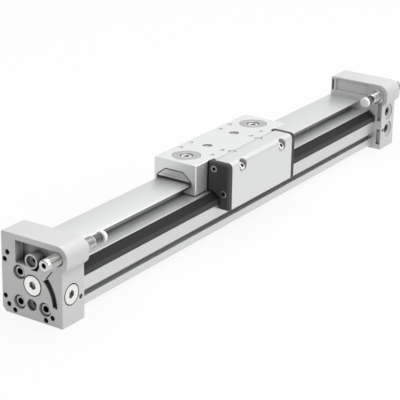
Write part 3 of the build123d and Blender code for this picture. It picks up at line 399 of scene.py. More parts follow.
def finish_mesh(mesh, merge, sharp):
    """Merges doubles, turns every shell's faces outwards and shades it smooth up to its sharp edges."""
    shell = bmesh.new()
    shell.from_mesh(mesh)
    bmesh.ops.remove_doubles(shell, verts=shell.verts, dist=merge)
    bmesh.ops.dissolve_degenerate(shell, edges=shell.edges, dist=merge)
    bmesh.ops.recalc_face_normals(shell, faces=shell.faces)
    shell.to_mesh(mesh)
    shell.free()
    mesh.shade_smooth()
    mesh.set_sharp_from_angle(angle=radians(sharp))


def piece(name, grids, material, body, stands_for=(), sharp=32, hollow_shade=()):
    """New piece from its grids and its hollows, which take a flat painted shade, riding on a CAD body,
    standing for CAD nodes.
    """
    every = [*grids, *hollow_shade]
    points = np.vstack([grid.reshape(-1, 3) for grid, _ in every])
    layout = np.vstack([uv.reshape(-1, 2) for _, uv in every])
    counts = np.cumsum([0] + [grid.shape[0] * grid.shape[1] for grid, _ in every])
    faces = [quads(*grid.shape[:2]) + start for (grid, _), start in zip(every, counts)]
    # Faces of the hollows take the second material, a flat painted shade
    dark = np.repeat([i >= len(grids) for i in range(len(every))], [len(one) for one in faces])
    faces = np.vstack(faces)
    mesh = bpy.data.meshes.new(name)
    mesh.from_pydata(points.tolist(), [], faces.tolist())
    mesh.uv_layers.new(name="UVMap").data.foreach_set("uv", layout[faces.ravel()].ravel())
    mesh.polygons.foreach_set("material_index", dark.astype(np.int32))
    finish_mesh(mesh, 1e-7, sharp)
    thing = shown(name, mesh, material, body, stands_for)
    if hollow_shade:
        mesh.materials.append(finish_of("painted_shade"))
    return thing


def shown(name, mesh, material, body, stands_for=()):
    """Object of a finished mesh, put into the scene and tied to the frame."""
    thing = bpy.data.objects.new(name, mesh)
    mesh.materials.append(material)
    bpy.context.scene.collection.objects.link(thing)
    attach(thing, body)
    if stands_for:
        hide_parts(*stands_for)
    return thing


def mark_bevels(mesh, narrow=25):
    """Gives the sharp edges a bevel weight of 1, but 0 at corners where two of them nearly close.

    Bevels would cross in such a corner. Every sharp edge has a direction from each of its ends.
    The ends are sorted by vertex, and those at one vertex are compared by the cosine between them.
    """
    ends = read(mesh.edges, "vertices", int, 2)
    sharp = read(mesh.attributes["sharp_edge"].data, "value", bool).ravel()
    points = read(mesh.vertices, "co", float, 3)
    near = ends[sharp].T.ravel()
    way = points[ends[sharp][:, ::-1].T.ravel()] - points[near]
    way /= np.linalg.norm(way, axis=1, keepdims=True)
    order = np.argsort(near, kind="stable")
    near, way = near[order], way[order]
    tight = np.zeros(len(points), bool)
    for step in (1, 2, 3):
        cosine = (way[step:] * way[:-step]).sum(axis=1)
        close = (near[step:] == near[:-step]) & (cosine > cos(radians(narrow)))
        tight[near[step:][close]] = True
    weight = (sharp & ~tight[ends].any(axis=1)).astype(np.float32)
    mesh.attributes.new("bevel_weight_edge", "FLOAT", "EDGE").data.foreach_set("value", weight)


def edged(node, material, width):
    """Copy of a CAD node with its doubles merged and its edges broken."""
    points, triangles = merged(node)
    mesh = bpy.data.meshes.new(f"{node}_edged")
    mesh.from_pydata(points.tolist(), [], triangles.tolist())
    shell = bmesh.new()
    shell.from_mesh(mesh)
    bmesh.ops.dissolve_degenerate(shell, edges=shell.edges, dist=1e-7)
    shell.to_mesh(mesh)
    shell.free()
    mesh.shade_smooth()
    mesh.set_sharp_from_angle(angle=EDGE_ANGLE)
    mark_bevels(mesh)
    thing = shown(f"{node}_edged", mesh, material, BODY_OF[node], (node,))
    bevel = thing.modifiers.new("Broken edges", "BEVEL")
    bevel.width = width
    bevel.segments = 2
    bevel.limit_method = "WEIGHT"
    bevel.use_clamp_overlap = False
    bevel.loop_slide = False
    bevel.harden_normals = True


# Finishes


def add(tree, kind, inputs=None, **settings):
    """Adds a shader node, sets its own settings, then fills its inputs or links them to a socket."""
    node = tree.nodes.new(f"ShaderNode{kind}")
    for key, value in settings.items():
        setattr(node, key, value)
    for key, value in (inputs or {}).items():
        if isinstance(value, bpy.types.NodeSocket):
            tree.links.new(value, node.inputs[key])
        else:
            node.inputs[key].default_value = value
    return node


def finish(name, base, metallic, roughness, **sockets):
    """New material with a Principled shader, as (material, tree, shader, object coordinates)."""
    material = bpy.data.materials.new(name)
    material.use_nodes = True
    tree = material.node_tree
    shader = tree.nodes["Principled BSDF"]
    shader.inputs["Base Color"].default_value = base
    shader.inputs["Metallic"].default_value = metallic
    shader.inputs["Roughness"].default_value = roughness
    for key, value in sockets.items():
        shader.inputs[key].default_value = value
    where = add(tree, "TexCoord")
    return material, tree, shader, where


def grain(tree, where, size, detail=2.0, output="Object"):
    """Noise whose features measure size, (x, y, z) in millimetres, on the piece's own coordinates."""
    scale = tuple(1 / (value * MM) for value in size)
    mapping = add(tree, "Mapping", {"Vector": where.outputs[output], "Scale": scale})
    return add(tree, "TexNoise", {"Vector": mapping.outputs[0], "Scale": 1.0, "Detail": detail}).outputs[0]


def roughen(tree, shader, noise, rough):
    """Lets a noise move the roughness between two values."""
    ends = {"From Min": 0.3, "From Max": 0.7, "To Min": rough[0], "To Max": rough[1]}
    span = add(tree, "MapRange", {"Value": noise, **ends})
    tree.links.new(span.outputs[0], shader.inputs["Roughness"])


def vary(tree, shader, noise, base, dark, rough, hollow_shade=None):
    """Lets a noise darken the colour by a share and move the roughness between two values.

    Hollow shade holds the settings for the painted shade that darkens the piece's holes and seams.
    """
    deep = tuple(value * (1 - dark) for value in base[:3]) + (1.0,)
    tint = add(tree, "Mix", {0: noise, 6: deep, 7: base}, data_type="RGBA").outputs[2]
    if hollow_shade:
        tint = painted_occlusion_shade(tree, tint, *hollow_shade)
    tree.links.new(tint, shader.inputs["Base Color"])
    roughen(tree, shader, noise, rough)


def painted_occlusion_shade(tree, tint, reach, code, least, own=True):
    """Painted shade: colour that darkens in holes, grooves and seams, the more closed in they are.

    Reach is in millimetres, code is the colour of the painted shade and least the open share at which it is
    full.
    Own counts only the piece's own walls. Otherwise a seam beside another piece darkens as well.
    """
    settings = {"samples": 12, "only_local": own}
    open_share = add(tree, "AmbientOcclusion", {"Distance": reach * MM}, **settings).outputs["AO"]
    ends = {"From Min": least, "From Max": 0.97, "To Min": 0.0, "To Max": 1.0}
    level = add(tree, "MapRange", {"Value": open_share, **ends}).outputs[0]
    return add(tree, "Mix", {0: level, 6: linear(code), 7: tint}, data_type="RGBA").outputs[2]


def relief(tree, shader, height, strength, depth):
    """Bump from a height field, with its depth in millimetres."""
    bump = add(tree, "Bump", {"Height": height, "Strength": strength, "Distance": depth * MM})
    tree.links.new(bump.outputs[0], shader.inputs["Normal"])


def extruded_aluminium(name, base, roughness, hollow_shade):
    """Etched and clear anodised extrusion: a soft satin with faint die lines along its length."""
    material, tree, shader, where = finish(name, base, 0.85, roughness)
    lines = grain(tree, where, (140, 0.7, 0.7), 3)
    vary(tree, shader, lines, base, 0.05, (roughness - 0.05, roughness + 0.07), hollow_shade)
    relief(tree, shader, lines, 0.25, 0.02)
    return material


def blasted_casting(name, base, hollow_shade):
    """Die casting, shot-blasted and anodised: even matt grain, duller than the profile."""
    material, tree, shader, where = finish(name, base, 0.3, 0.58)
    speck = grain(tree, where, (0.5, 0.5, 0.5), 3)
    cloud = grain(tree, where, (22, 22, 22), 1)
    vary(tree, shader, cloud, base, 0.05, (0.54, 0.64), hollow_shade)
    relief(tree, shader, speck, 0.35, 0.06)
    return material


def milled_aluminium(base):
    """Milled block, anodised: fine cross feed marks, which catch the light a little unevenly."""
    material, tree, shader, where = finish("Milled anodised aluminium", base, 0.8, 0.4)
    feed = grain(tree, where, (0.9, 60, 60), 2)
    # The slide takes painted shade in its holes and in the seams beside other pieces
    vary(tree, shader, feed, base, 0.035, (0.36, 0.46), (1.8, "#2e3030", 0.3, False))
    relief(tree, shader, feed, 0.2, 0.02)
    return material


def turned_metal(name, base, roughness, pitch, hollow_shade=None):
    """Turned and plated metal: bright, with fine rings left by the lathe tool, read from the UV map."""
    material, tree, shader, where = finish(name, base, 1.0, roughness)
    rings = grain(tree, where, (4000, pitch, 1000), 1, "UV")
    vary(tree, shader, rings, base, 0.06, (max(roughness - 0.06, 0.05), roughness + 0.08), hollow_shade)
    relief(tree, shader, rings, 0.2, 0.01)
    return material


def plated_steel(name, base, roughness, hollow_shade=None):
    """Zinc-plated steel: a grey metal with a slightly cloudy, passivated skin."""
    material, tree, shader, where = finish(name, base, 1.0, roughness)
    cloud = grain(tree, where, (2.5, 2.5, 2.5), 3)
    vary(tree, shader, cloud, base, 0.15, (roughness - 0.06, roughness + 0.1), hollow_shade)
    return material


def ground_steel(base):
    """Hardened and ground rod: smooth and dark, with hair-fine grinding marks round it."""
    material, tree, shader, where = finish("Ground rod steel", base, 1.0, 0.2)
    marks = grain(tree, where, (0.25, 30, 30), 2)
    vary(tree, shader, marks, base, 0.1, (0.15, 0.28))
    relief(tree, shader, marks, 0.15, 0.01)
    return material


def moulded_plastic(name, base, roughness, texture, gloss=0.5):
    """Moulded plastic: even colour, with a fine spark-eroded texture from the mould."""
    level = {"IOR": 1.5, "Specular IOR Level": gloss}
    material, tree, shader, where = finish(name, base, 0.0, roughness, **level)
    speck = grain(tree, where, (texture, texture, texture), 2)
    cloud = grain(tree, where, (12, 12, 12), 1)
    vary(tree, shader, cloud, base, 0.12, (roughness - 0.05, roughness + 0.06))
    relief(tree, shader, speck, 0.3, 0.04)
    return material


def extruded_rubber(base, lower_facet_sheen, fold):
    """Extruded polyurethane band: matt black with draw lines, and a painted sheen that makes it greyer below
    its fold.

    Fold is the height in millimetres at which the facets meet.
    """
    level = {"IOR": 1.5, "Specular IOR Level": 0.25}
    material, tree, shader, where = finish("Extruded polyurethane", base, 0.0, 0.55, **level)
    lines = grain(tree, where, (90, 0.8, 0.8), 3)
    roughen(tree, shader, lines, (0.5, 0.65))
    relief(tree, shader, lines, 0.3, 0.03)
    # Painted sheen: below the fold the band takes the lighter colour
    height = add(tree, "SeparateXYZ", {"Vector": where.outputs["Object"]}).outputs["Z"]
    ends = {"From Min": (fold - 0.5) * MM, "From Max": (fold + 0.5) * MM}
    upper = add(tree, "MapRange", {"Value": height, **ends}).outputs[0]
    facet = add(tree, "Mix", {0: upper, 6: lower_facet_sheen, 7: base}, data_type="RGBA").outputs[2]
    tree.links.new(facet, shader.inputs["Base Color"])
    return material


def lipped_acetal(base, backing, depth):
    """Moulded acetal wiper, black but for a light metal strip of a depth in millimetres.

    The strip hangs below the pad carrier and carries on its slanting edges: the distance from the
    carrier's middle, plus the lean times the height, stays under what it is at its lower corners.
    """
    low, high = box("front_pad_carrier") / np.array(MM)
    lean = 0.9
    blend = 0.1
    material, tree, shader, where = finish("Acetal lip under a light strip", base, 0.0, 0.42)
    cloud = grain(tree, where, (12, 12, 12), 1)
    roughen(tree, shader, cloud, (0.35, 0.46))
    split = add(tree, "SeparateXYZ", {"Vector": where.outputs["Object"]})
    height = split.outputs["Z"]
    middle = (low[1] + high[1]) / 2
    offset = add(tree, "Math", {0: split.outputs["Y"], 1: middle * MM}, operation="SUBTRACT").outputs[0]
    across = add(tree, "Math", {0: offset}, operation="ABSOLUTE").outputs[0]
    slant = add(tree, "Math", {0: height, 1: lean, 2: across}, operation="MULTIPLY_ADD").outputs[0]
    limit = (high[1] - low[1]) / 2 + lean * low[2]
    upper = 1.0
    for value, outer, inner in (
        (height, low[2] - depth, low[2] - depth + blend),
        (height, low[2] + blend, low[2]),
        (slant, limit, limit - blend),
    ):
        ends = {"From Min": outer * MM, "From Max": inner * MM}
        inside = add(tree, "MapRange", {"Value": value, **ends}).outputs[0]
        upper = add(tree, "Math", {0: upper, 1: inside}, operation="MULTIPLY").outputs[0]
    # The light strip takes painted shade in its seams
    pale = painted_occlusion_shade(tree, backing, *SEAM_SHADE)
    tint = add(tree, "Mix", {0: upper, 6: base, 7: pale}, data_type="RGBA").outputs[2]
    tree.links.new(tint, shader.inputs["Base Color"])
    tree.links.new(upper, shader.inputs["Metallic"])
    return material


def nitrile(base):
    """Moulded nitrile seal: matt black with a dusty bloom."""
    material, tree, shader, where = finish("Nitrile rubber", base, 0.0, 0.7, IOR=1.52)
    bloom = grain(tree, where, (1.5, 1.5, 1.5), 3)
    vary(tree, shader, bloom, base, 0.25, (0.6, 0.8))
    return material


def sintered(base):
    """Sintered magnet: dull dark grey with an open grain."""
    material, tree, shader, where = finish("Sintered magnet", base, 0.5, 0.65)
    grit = grain(tree, where, (0.4, 0.4, 0.4), 3)
    vary(tree, shader, grit, base, 0.2, (0.55, 0.75))
    relief(tree, shader, grit, 0.3, 0.03)
    return material


def make_finishes():
    """Every finish of the object, made once and looked up by name.

    Settings for painted shade in hollows are (reach, colour of the painted shade, least open share, own walls
    only), as the painted shade function takes them.
    """
    c = colours()
    # Painted shade in the barrel's sensor groove
    groove_shade = (5, "#6e7070", 0.2)
    # Painted shade in the sockets of the plugs, adjusters and absorbers
    socket_shade = (4, "#3c3e3f", 0.3)
    return {
        # Aluminium: the profile and cover are satin, the castings matt, and the slide a little brighter.
        # The near cap gets a deep painted shade in its recesses, and the far cap a lighter painted shade in
        # its open cores
        "barrel": extruded_aluminium("Anodised extrusion", tuple(c.barrel), 0.4, groove_shade),
        "near_caps": blasted_casting("Blasted anodised casting, deep painted shade", tuple(c.caps), (9, "#3c3e3e", 0.3)),
        "far_caps": blasted_casting("Blasted casting, light painted shade", tuple(c.caps), (4, "#8c8e8e", 0.2)),
        "slide": milled_aluminium(tuple(c.slide)),
        # The cover takes painted shade in the seams beside other pieces
        "cover": extruded_aluminium("Anodised cover extrusion", tuple(c.cover), 0.38, SEAM_SHADE),
        # Plated and ground steel and brass: the plugs gleam, the socket screws are duller and cloudy
        "plating": turned_metal("Nickel plated brass", tuple(c.plating), 0.3, 0.25, socket_shade),
        "screws": plated_steel("Zinc plated steel", tuple(c.screws), 0.38),
        "absorbers": turned_metal("Bright plated steel", tuple(c.absorbers), 0.1, 0.3, socket_shade),
        "rods": ground_steel(tuple(c.rods)),
        "discs": turned_metal("Turned grey disc", tuple(c.discs), 0.42, 0.35),
        "dowels": turned_metal("Ground dowel steel", tuple(c.dowels), 0.25, 0.3),
        # The carrier strips take painted shade in the seams beside other pieces
        "carriers": plated_steel("Milled carrier strip", tuple(c.carriers), 0.4, SEAM_SHADE),
        # Plastics and rubber: matt, and nearly black but for the white buffers
        "buffers": moulded_plastic("White polyurethane", tuple(c.buffers), 0.45, 0.4),
        "band": extruded_rubber(tuple(c.band), tuple(c.lower_facet_sheen), BAND_FOLD),
        "moulded": moulded_plastic("Glass filled nylon", tuple(c.moulded), 0.55, 0.3, 0.3),
        "guides": moulded_plastic("Moulded acetal", tuple(c.guides), 0.4, 0.3),
        "wipers": lipped_acetal(tuple(c.guides), tuple(c.carriers), 2.1),
        "rubber": nitrile(tuple(c.rubber)),
        "piston": moulded_plastic("Grey acetal piston", tuple(c.piston), 0.45, 0.4),
        "magnets": sintered(tuple(c.magnets)),
        # Insides of threads and sockets: grey metal, with painted shade that darkens the caps' deep holes
        # with depth, and a flat painted shade for the screws' sockets and the gaps round heads
        "tapped": plated_steel("Tapped aluminium", tuple(c.tapped), 0.45),
        "deep": plated_steel("Tapped casting in painted shade", tuple(c.tapped), 0.5, (9, "#3a3b3b", 0.35)),
        "painted_shade": plated_steel("Painted shade for sockets and gaps", tuple(c.painted_shade), 0.55),
    }


finishes = {}


def finish_of(name):
    """A finish by its short name; all of them are made the first time that one is asked for."""
    if not finishes:
        finishes.update(make_finishes())
    return finishes[name]


def socket(face, key, depth):
    """Stations of a hexagon socket, from its floor to the mouth in the face."""
    return [
        (face - depth - key * 0.12, 0, 0),
        (face - depth, key / 2 * 0.98, 1),
        (face - key * 0.06, key / 2, 1),
        (face, key / 2 * SOCKET_MOUTH, 1),
    ]


def round_head(face, radius, height, key, edge):
    """Stations of a cylinder head, from the socket's mouth over the rounded rim and down its side."""
    return [
        (face, key / 2 * SOCKET_MOUTH, 1),
        (face, key / 2 * 1.28, 0),
        (face, radius - edge, 0),
        (face - edge * 0.3, radius - edge * 0.3, 0),
        (face - edge, radius, 0),
        (face - height, radius, 0),
    ]


def head_screw(centre, face, tip, radius, directions, kind, edge):
    """Socket head screw as (outside, socket): head, shank and a chamfered tip, closed on its axis."""
    height, shank, key = (size * MM for size in kind)
    stations = round_head(face, radius, height, key, edge)
    stations += [(face - height, shank, 0), (tip + shank * 0.3, shank, 0)]
    stations += [(tip, shank * 0.75, 0), (tip, 0, 0)]
    inside = turned(centre, directions, socket(face, key, height * 0.55))
    return turned(centre, directions, stations), inside


def gap_shade_ring(face, radius, rim, width):
    """Stations of a ring of painted shade in the gap round a head: a closed triangle over its rounded rim."""
    low = face - rim * 1.2
    high = face - 0.03 * MM
    return [(low, radius, 0), (high, radius, 0), (high, radius - width, 0), (low, radius, 0)]


class PieceOperator:
    """What the operators of this panel share."""

    bl_options = {"REGISTER", "UNDO"}


class RODLESS_OT_barrel(PieceOperator, bpy.types.Operator):
    """Make the barrel profile with broken edges"""

    bl_idname = "rodless.barrel"
    bl_label = "Barrel"

    def execute(self, context):
        edged("barrel_profile", finish_of("barrel"), sizes().machined_edge)
        return {"FINISHED"}


class RODLESS_OT_end_caps(PieceOperator, bpy.types.Operator):
    """Make both cast end caps with soft edges"""

    bl_idname = "rodless.end_caps"
    bl_label = "End caps"

    def execute(self, context):
        for end in ("near", "far"):
            edged(f"{end}_end_cap", finish_of(f"{end}_caps"), sizes().cast_edge)
        return {"FINISHED"}


class RODLESS_OT_cap_screws(PieceOperator, bpy.types.Operator):
    """Make the socket head screws that hold the end caps"""

    bl_idname = "rodless.cap_screws"
    bl_label = "Cap screws"

    def execute(self, context):
        for end, directions in (("near", FRONT), ("far", REAR)):
            screws = []
            for low, high in solids(f"{end}_cap_screws"):
                shape = round_box(low, high, directions)
                screws.append(head_screw(*shape, directions, CAP_SCREW, sizes().screw_edge))
            outsides, sockets = zip(*screws)
            name = f"{end}_cap_socket_screws"
            stands_for = (f"{end}_cap_screws",)
            # The sockets are hollows, drawn in a flat painted shade
            piece(name, outsides, finish_of("screws"), "cylinder", stands_for, hollow_shade=sockets)
        return {"FINISHED"}


class RODLESS_OT_plugs(PieceOperator, bpy.types.Operator):
    """Make the three blanking plugs with their hexagon sockets"""

    bl_idname = "rodless.plugs"
    bl_label = "Blanking plugs"

    def execute(self, context):
        nodes = (("near_front_plug", FRONT), ("near_side_plug", SIDE), ("far_end_plug", REAR))
        for node, directions in nodes:
            centre, face, tip, radius = round_box(*box(node), directions)
            key = 6 * MM
            thread = 4.8 * MM
            flange = 2.6 * MM
            rim = 0.8 * MM
            stations = round_head(face, radius, flange, key, rim)
            stations += [(face - flange, thread, 0), (tip + MM, thread, 0)]
            stations += [(tip, thread - MM, 0), (tip, 0, 0)]
            # A ring of painted shade in the gap round the plug's rim
            ring = gap_shade_ring(face, radius + 0.1 * MM, rim, 0.85 * MM)
            inside = turned(centre, directions, socket(face, key, 2.8 * MM), 96)
            grids = [turned(centre, directions, stations, 96), inside]
            name = f"{node}_turned"
            rings = [turned(centre, directions, ring, 96)]
            piece(name, grids, finish_of("plating"), "cylinder", (node,), hollow_shade=rings)
        return {"FINISHED"}


class RODLESS_OT_absorbers(PieceOperator, bpy.types.Operator):
    """Make the shock absorbers: threaded bodies, chamfered nuts, rods and buffers"""

    bl_idname = "rodless.absorbers"
    bl_label = "Shock absorbers"

    def execute(self, context):
        for end, directions in (("near", FRONT), ("far", REAR)):
            self.body(end, directions)
            self.nut(end, directions)
            self.plunger(end, directions)
        return {"FINISHED"}

    def body(self, end, directions):
        """Threaded tube with a plain tail end, an end ring with a hexagon socket and a stepped nose."""
        node = f"{end}_absorber_body"
        centre, tail, nose, radius = round_box(*box(node), directions)
        plain = tail - 4.0 * MM
        pitch = sizes().absorber_pitch
        key = 4.0 * MM
        end_stations = [
            (tail, key / 2 * SOCKET_MOUTH, 1),
            (tail, 2.9 * MM, 0),
            (tail, radius - 0.9 * MM, 0),
            (tail - 0.3 * MM, radius - 0.3 * MM, 0),
            (tail - 0.9 * MM, radius, 0),
            (plain, radius, 0),
            (plain, 0, 0),
        ]
        nose_stations = [
            (nose + 2.0 * MM, 0, 0),
            (nose + 2.0 * MM, radius - 0.1 * MM, 0),
            (nose + 0.6 * MM, radius - 0.1 * MM, 0),
            (nose, radius - 0.7 * MM, 0),
            (nose, 0, 0),
        ]
        grids = [
            turned(centre, directions, end_stations),
            turned(centre, directions, nose_stations),
            threaded(centre, directions, plain, nose + 1.9 * MM, radius, 0.35 * MM, pitch),
        ]
        name = f"{end}_absorber_threaded_body"
        grids.append(turned(centre, directions, socket(tail, key, 2.8 * MM)))
        piece(name, grids, finish_of("absorbers"), "cylinder", (node,))

    def nut(self, end, directions):
        """Hexagon nut, its radius the lesser of the hexagon's and that of a 30 degree cone at either face.

        The bore has a lead of its own at both ends, and the surface closes on itself inside it.
        """
        node = f"{end}_absorber_nut"
        centre, top, bottom, _ = round_box(*box(node), directions)
        flats = sizes().nut_flats / 2
        bore = 4.95 * MM
        lead = 0.4 * MM
        cut = 1.3 * MM
        steep = 1.73
        angle = np.linspace(0, 2 * pi, 97)
        share = np.linspace(0, 1, 6)
        falling = np.concatenate([top - share * cut, bottom + share[::-1] * cut])
        along = np.concatenate([[top, top, top], falling, [bottom, bottom, top]])
        cone = flats * 0.97 + np.concatenate([share, share[::-1]]) * cut * steep
        hexagon = np.minimum((flats / np.cos(off_flat(angle)))[None, :], cone[:, None])
        ring = np.ones((1, len(angle)))
        radius = np.vstack([bore * ring, (bore + lead) * ring, flats * 0.9 * ring, hexagon])
        radius = np.vstack([radius, (bore + lead) * ring, bore * ring, bore * ring])
        along = along[:, None] + 0 * angle[None, :]
        along[0] -= lead
        along[-2] += lead
        along[-1] -= lead
        grids = [placed(centre, directions, along, radius, angle)]
        name = f"{end}_absorber_hexagon_nut"
        piece(name, grids, finish_of("absorbers"), "cylinder", (node,), 20)

    def plunger(self, end, directions):
        """Ground rod and the rounded buffer on its end."""
        centre, inner, tip, radius = round_box(*box(f"{end}_absorber_rod"), directions)
        soft = 0.4 * MM
        stations = [(inner, 0, 0), (inner, radius, 0), (tip + soft, radius, 0)]
        stations += [(tip, radius - soft, 0), (tip, 0, 0)]
        grids = [turned(centre, directions, stations)]
        name = f"{end}_absorber_ground_rod"
        stands_for = (f"{end}_absorber_rod",)
        piece(name, grids, finish_of("rods"), f"{end}_plunger", stands_for)
        _, back, face, radius = round_box(*box(f"{end}_buffer"), directions)
        bend = np.linspace(0, pi / 2, 7)
        soft = 1.0 * MM
        rim = [(face + soft - soft * sin(a), radius - soft + soft * cos(a), 0) for a in bend]
        stations = [(back, 0, 0), (back, radius - 0.3 * MM, 0), (back - 0.3 * MM, radius, 0)]
        stations += [*rim, (face, 0, 0)]
        grids = [turned(centre, directions, stations, 64)]
        name = f"{end}_rounded_buffer"
        stands_for = (f"{end}_buffer",)
        piece(name, grids, finish_of("buffers"), f"{end}_plunger", stands_for)


class RODLESS_OT_bands(PieceOperator, bpy.types.Operator):
    """Make the cover band and the sealing band as straight strips in their seats"""

    bl_idname = "rodless.bands"
    bl_label = "Bands"

    def execute(self, context):
        low, high = box("barrel_profile")
        side = low[1]
        thick = sizes().band_thickness
        foot, fold = BAND_FOOT * MM, BAND_FOLD * MM
        top = np.array(BAND_TOP) * MM
        slope = top - (side, fold)
        normal = np.array([slope[1], -slope[0]]) / np.hypot(*slope)
        shift = thick * (1 - normal[0]) / normal[1]
        outer = rounded([(side, foot), (side, fold), top], 1.9 * MM)
        inner = rounded([(side + thick, foot), (side + thick, fold + shift), top + normal * thick], 0.3 * MM)
        grids = strip(outer, inner, np.linspace(low[0], high[0], 24))
        piece("cover_band_strip", grids, finish_of("band"), "cylinder", ("cover_band",), 25)
        out = np.array([-cos(SLOT_ANGLE), sin(SLOT_ANGLE)])
        across = np.array([sin(SLOT_ANGLE), cos(SLOT_ANGLE)]) * SEAL_HALF * MM
        middle = np.array([0, BORE_HEIGHT * MM]) + out * SEAL_REACH * MM
        inner = [middle + across * step for step in (-1, 0, 1)]
        outer = [point + out * SEAL_THICKNESS * MM for point in inner]
        grids = strip(outer, inner, np.linspace(low[0], high[0], 12))
        steel = finish_of("carriers")
        piece("sealing_band_strip", grids, steel, "cylinder", ("sealing_band",), 25)
        for end in ("near", "far"):
            edged(f"{end}_band_clamp", finish_of("moulded"), sizes().moulded_edge / 2)
        return {"FINISHED"}


class RODLESS_OT_slide(PieceOperator, bpy.types.Operator):
    """Make the slide block with its guide liners, wipers and pad carriers"""

    bl_idname = "rodless.slide"
    bl_label = "Slide"

    def execute(self, context):
        edged("slide_block", finish_of("slide"), sizes().machined_edge)
        for end in ("front", "rear"):
            edged(f"{end}_pad_carrier", finish_of("carriers"), sizes().moulded_edge)
            edged(f"{end}_rail_wiper", finish_of("wipers"), sizes().moulded_edge / 2)
            edged(f"{end}_guide_liner", finish_of("guides"), sizes().moulded_edge / 2)
        return {"FINISHED"}


class RODLESS_OT_threads(PieceOperator, bpy.types.Operator):
    """Make the threads inside the mounting holes and the open air ports"""

    bl_idname = "rodless.threads"
    bl_label = "Tapped threads"

    def execute(self, context):
        pitch = sizes().hole_pitch
        start, end = SLIDE_THREAD_REACH
        grids = []
        for name in ("slide_threads_outer", "slide_threads_inner"):
            mount = MOUNTS[name]
            top = mount["pos_m"][2]
            for place in self.pattern(mount, "spacing_x_mm", "spacing_y_mm"):
                grids.append(tapped(place * (1, 1, 0), UP, top - start, top - end, SMALL_THREAD, pitch))
        for name in ("centring_bore_front", "centring_bore_rear"):
            place = np.array(MOUNTS[name]["pos_m"])
            floor = place[2] - MOUNTS[name]["dims"]["length_mm"] * MM
            reach = (floor - THREAD_LEAD, floor - BORE_THREAD_END)
            grids.append(tapped(place * (1, 1, 0), UP, *reach, LARGE_THREAD, pitch))
        piece("slide_tapped_threads", grids, finish_of("tapped"), "carriage")
        grids = []
        for name, directions in (("near_end_threads", FRONT), ("far_end_threads", REAR)):
            mount = MOUNTS[name]
            seat = directions[0][0] * mount["pos_m"][0]
            for place in self.pattern(mount, None, "spacing_y_mm"):
                reach = (seat - THREAD_LEAD, seat - CAP_THREAD_END)
                grids.append(tapped(place * (0, 1, 1), directions, *reach, SMALL_THREAD, pitch))
        for name in ("upper_air_port", "lower_air_port"):
            mount = MOUNTS[name]
            place = np.array(mount["pos_m"])
            middle = -place[1]
            reach = mount["dims"]["length_mm"] / 2 * MM - 0.1 * MM
            radius = mount["dims"]["r_mm"] * MM
            depth = (middle + reach - THREAD_LEAD, middle - reach)
            grids.append(tapped(place * (1, 0, 1), SIDE, *depth, radius, sizes().port_pitch, 64))
        piece("cap_tapped_threads", grids, finish_of("deep"), "cylinder")
        return {"FINISHED"}

    def pattern(self, mount, along, across):
        """Centres of a bolt pattern: the signs of both spacings, upwards as the second on an end face."""
        dims = mount["dims"]
        half_x = dims[along] / 2 * MM if along else 0
        half_y = dims[across] / 2 * MM
        upright = (0, 1, 0) if along else (0, 0, 1)
        signs = (-1, 1) if along else (0,)
        centre = np.array(mount["pos_m"])
        steps = [(i * half_x, np.multiply(upright, j * half_y)) for i in signs for j in (-1, 1)]
        return [centre + (x, 0, 0) + rest for x, rest in steps]


class RODLESS_OT_adjusters(PieceOperator, bpy.types.Operator):
    """Make the grey discs on the slide and the socket screws in their middles"""

    bl_idname = "rodless.adjusters"
    bl_label = "Adjusters"

    def execute(self, context):
        discs = []
        for low, high in solids("adjuster_discs"):
            centre, top, bottom, radius = round_box(low, high, UP)
            hole = 5.7 * MM
            edge = 0.35 * MM
            stations = [
                (bottom, hole, 0),
                (top - edge, hole, 0),
                (top, hole + edge, 0),
                (top, radius - edge, 0),
                (top - edge, radius, 0),
                (bottom, radius, 0),
                (bottom, hole, 0),
            ]
            discs.append(turned(centre, UP, stations, 96))
        name = "adjuster_turned_discs"
        piece(name, discs, finish_of("discs"), "carriage", ("adjuster_discs",))
        screws = []
        rings = []
        for low, high in solids("adjuster_screws"):
            centre, top, bottom, radius = round_box(low, high, UP)
            rim = 0.9 * MM
            key = 5 * MM
            stations = round_head(top, radius, top - bottom, key, rim)
            screws.append(turned(centre, UP, [*stations, (bottom, 0, 0)]))
            screws.append(turned(centre, UP, socket(top, key, 1.6 * MM)))
            # A ring of painted shade in the gap round the screw head
            rings.append(turned(centre, UP, gap_shade_ring(top, radius, rim, 0.95 * MM)))
        name = "adjuster_socket_screws"
        stands_for = ("adjuster_screws",)
        piece(name, screws, finish_of("plating"), "carriage", stands_for, hollow_shade=rings)
        return {"FINISHED"}


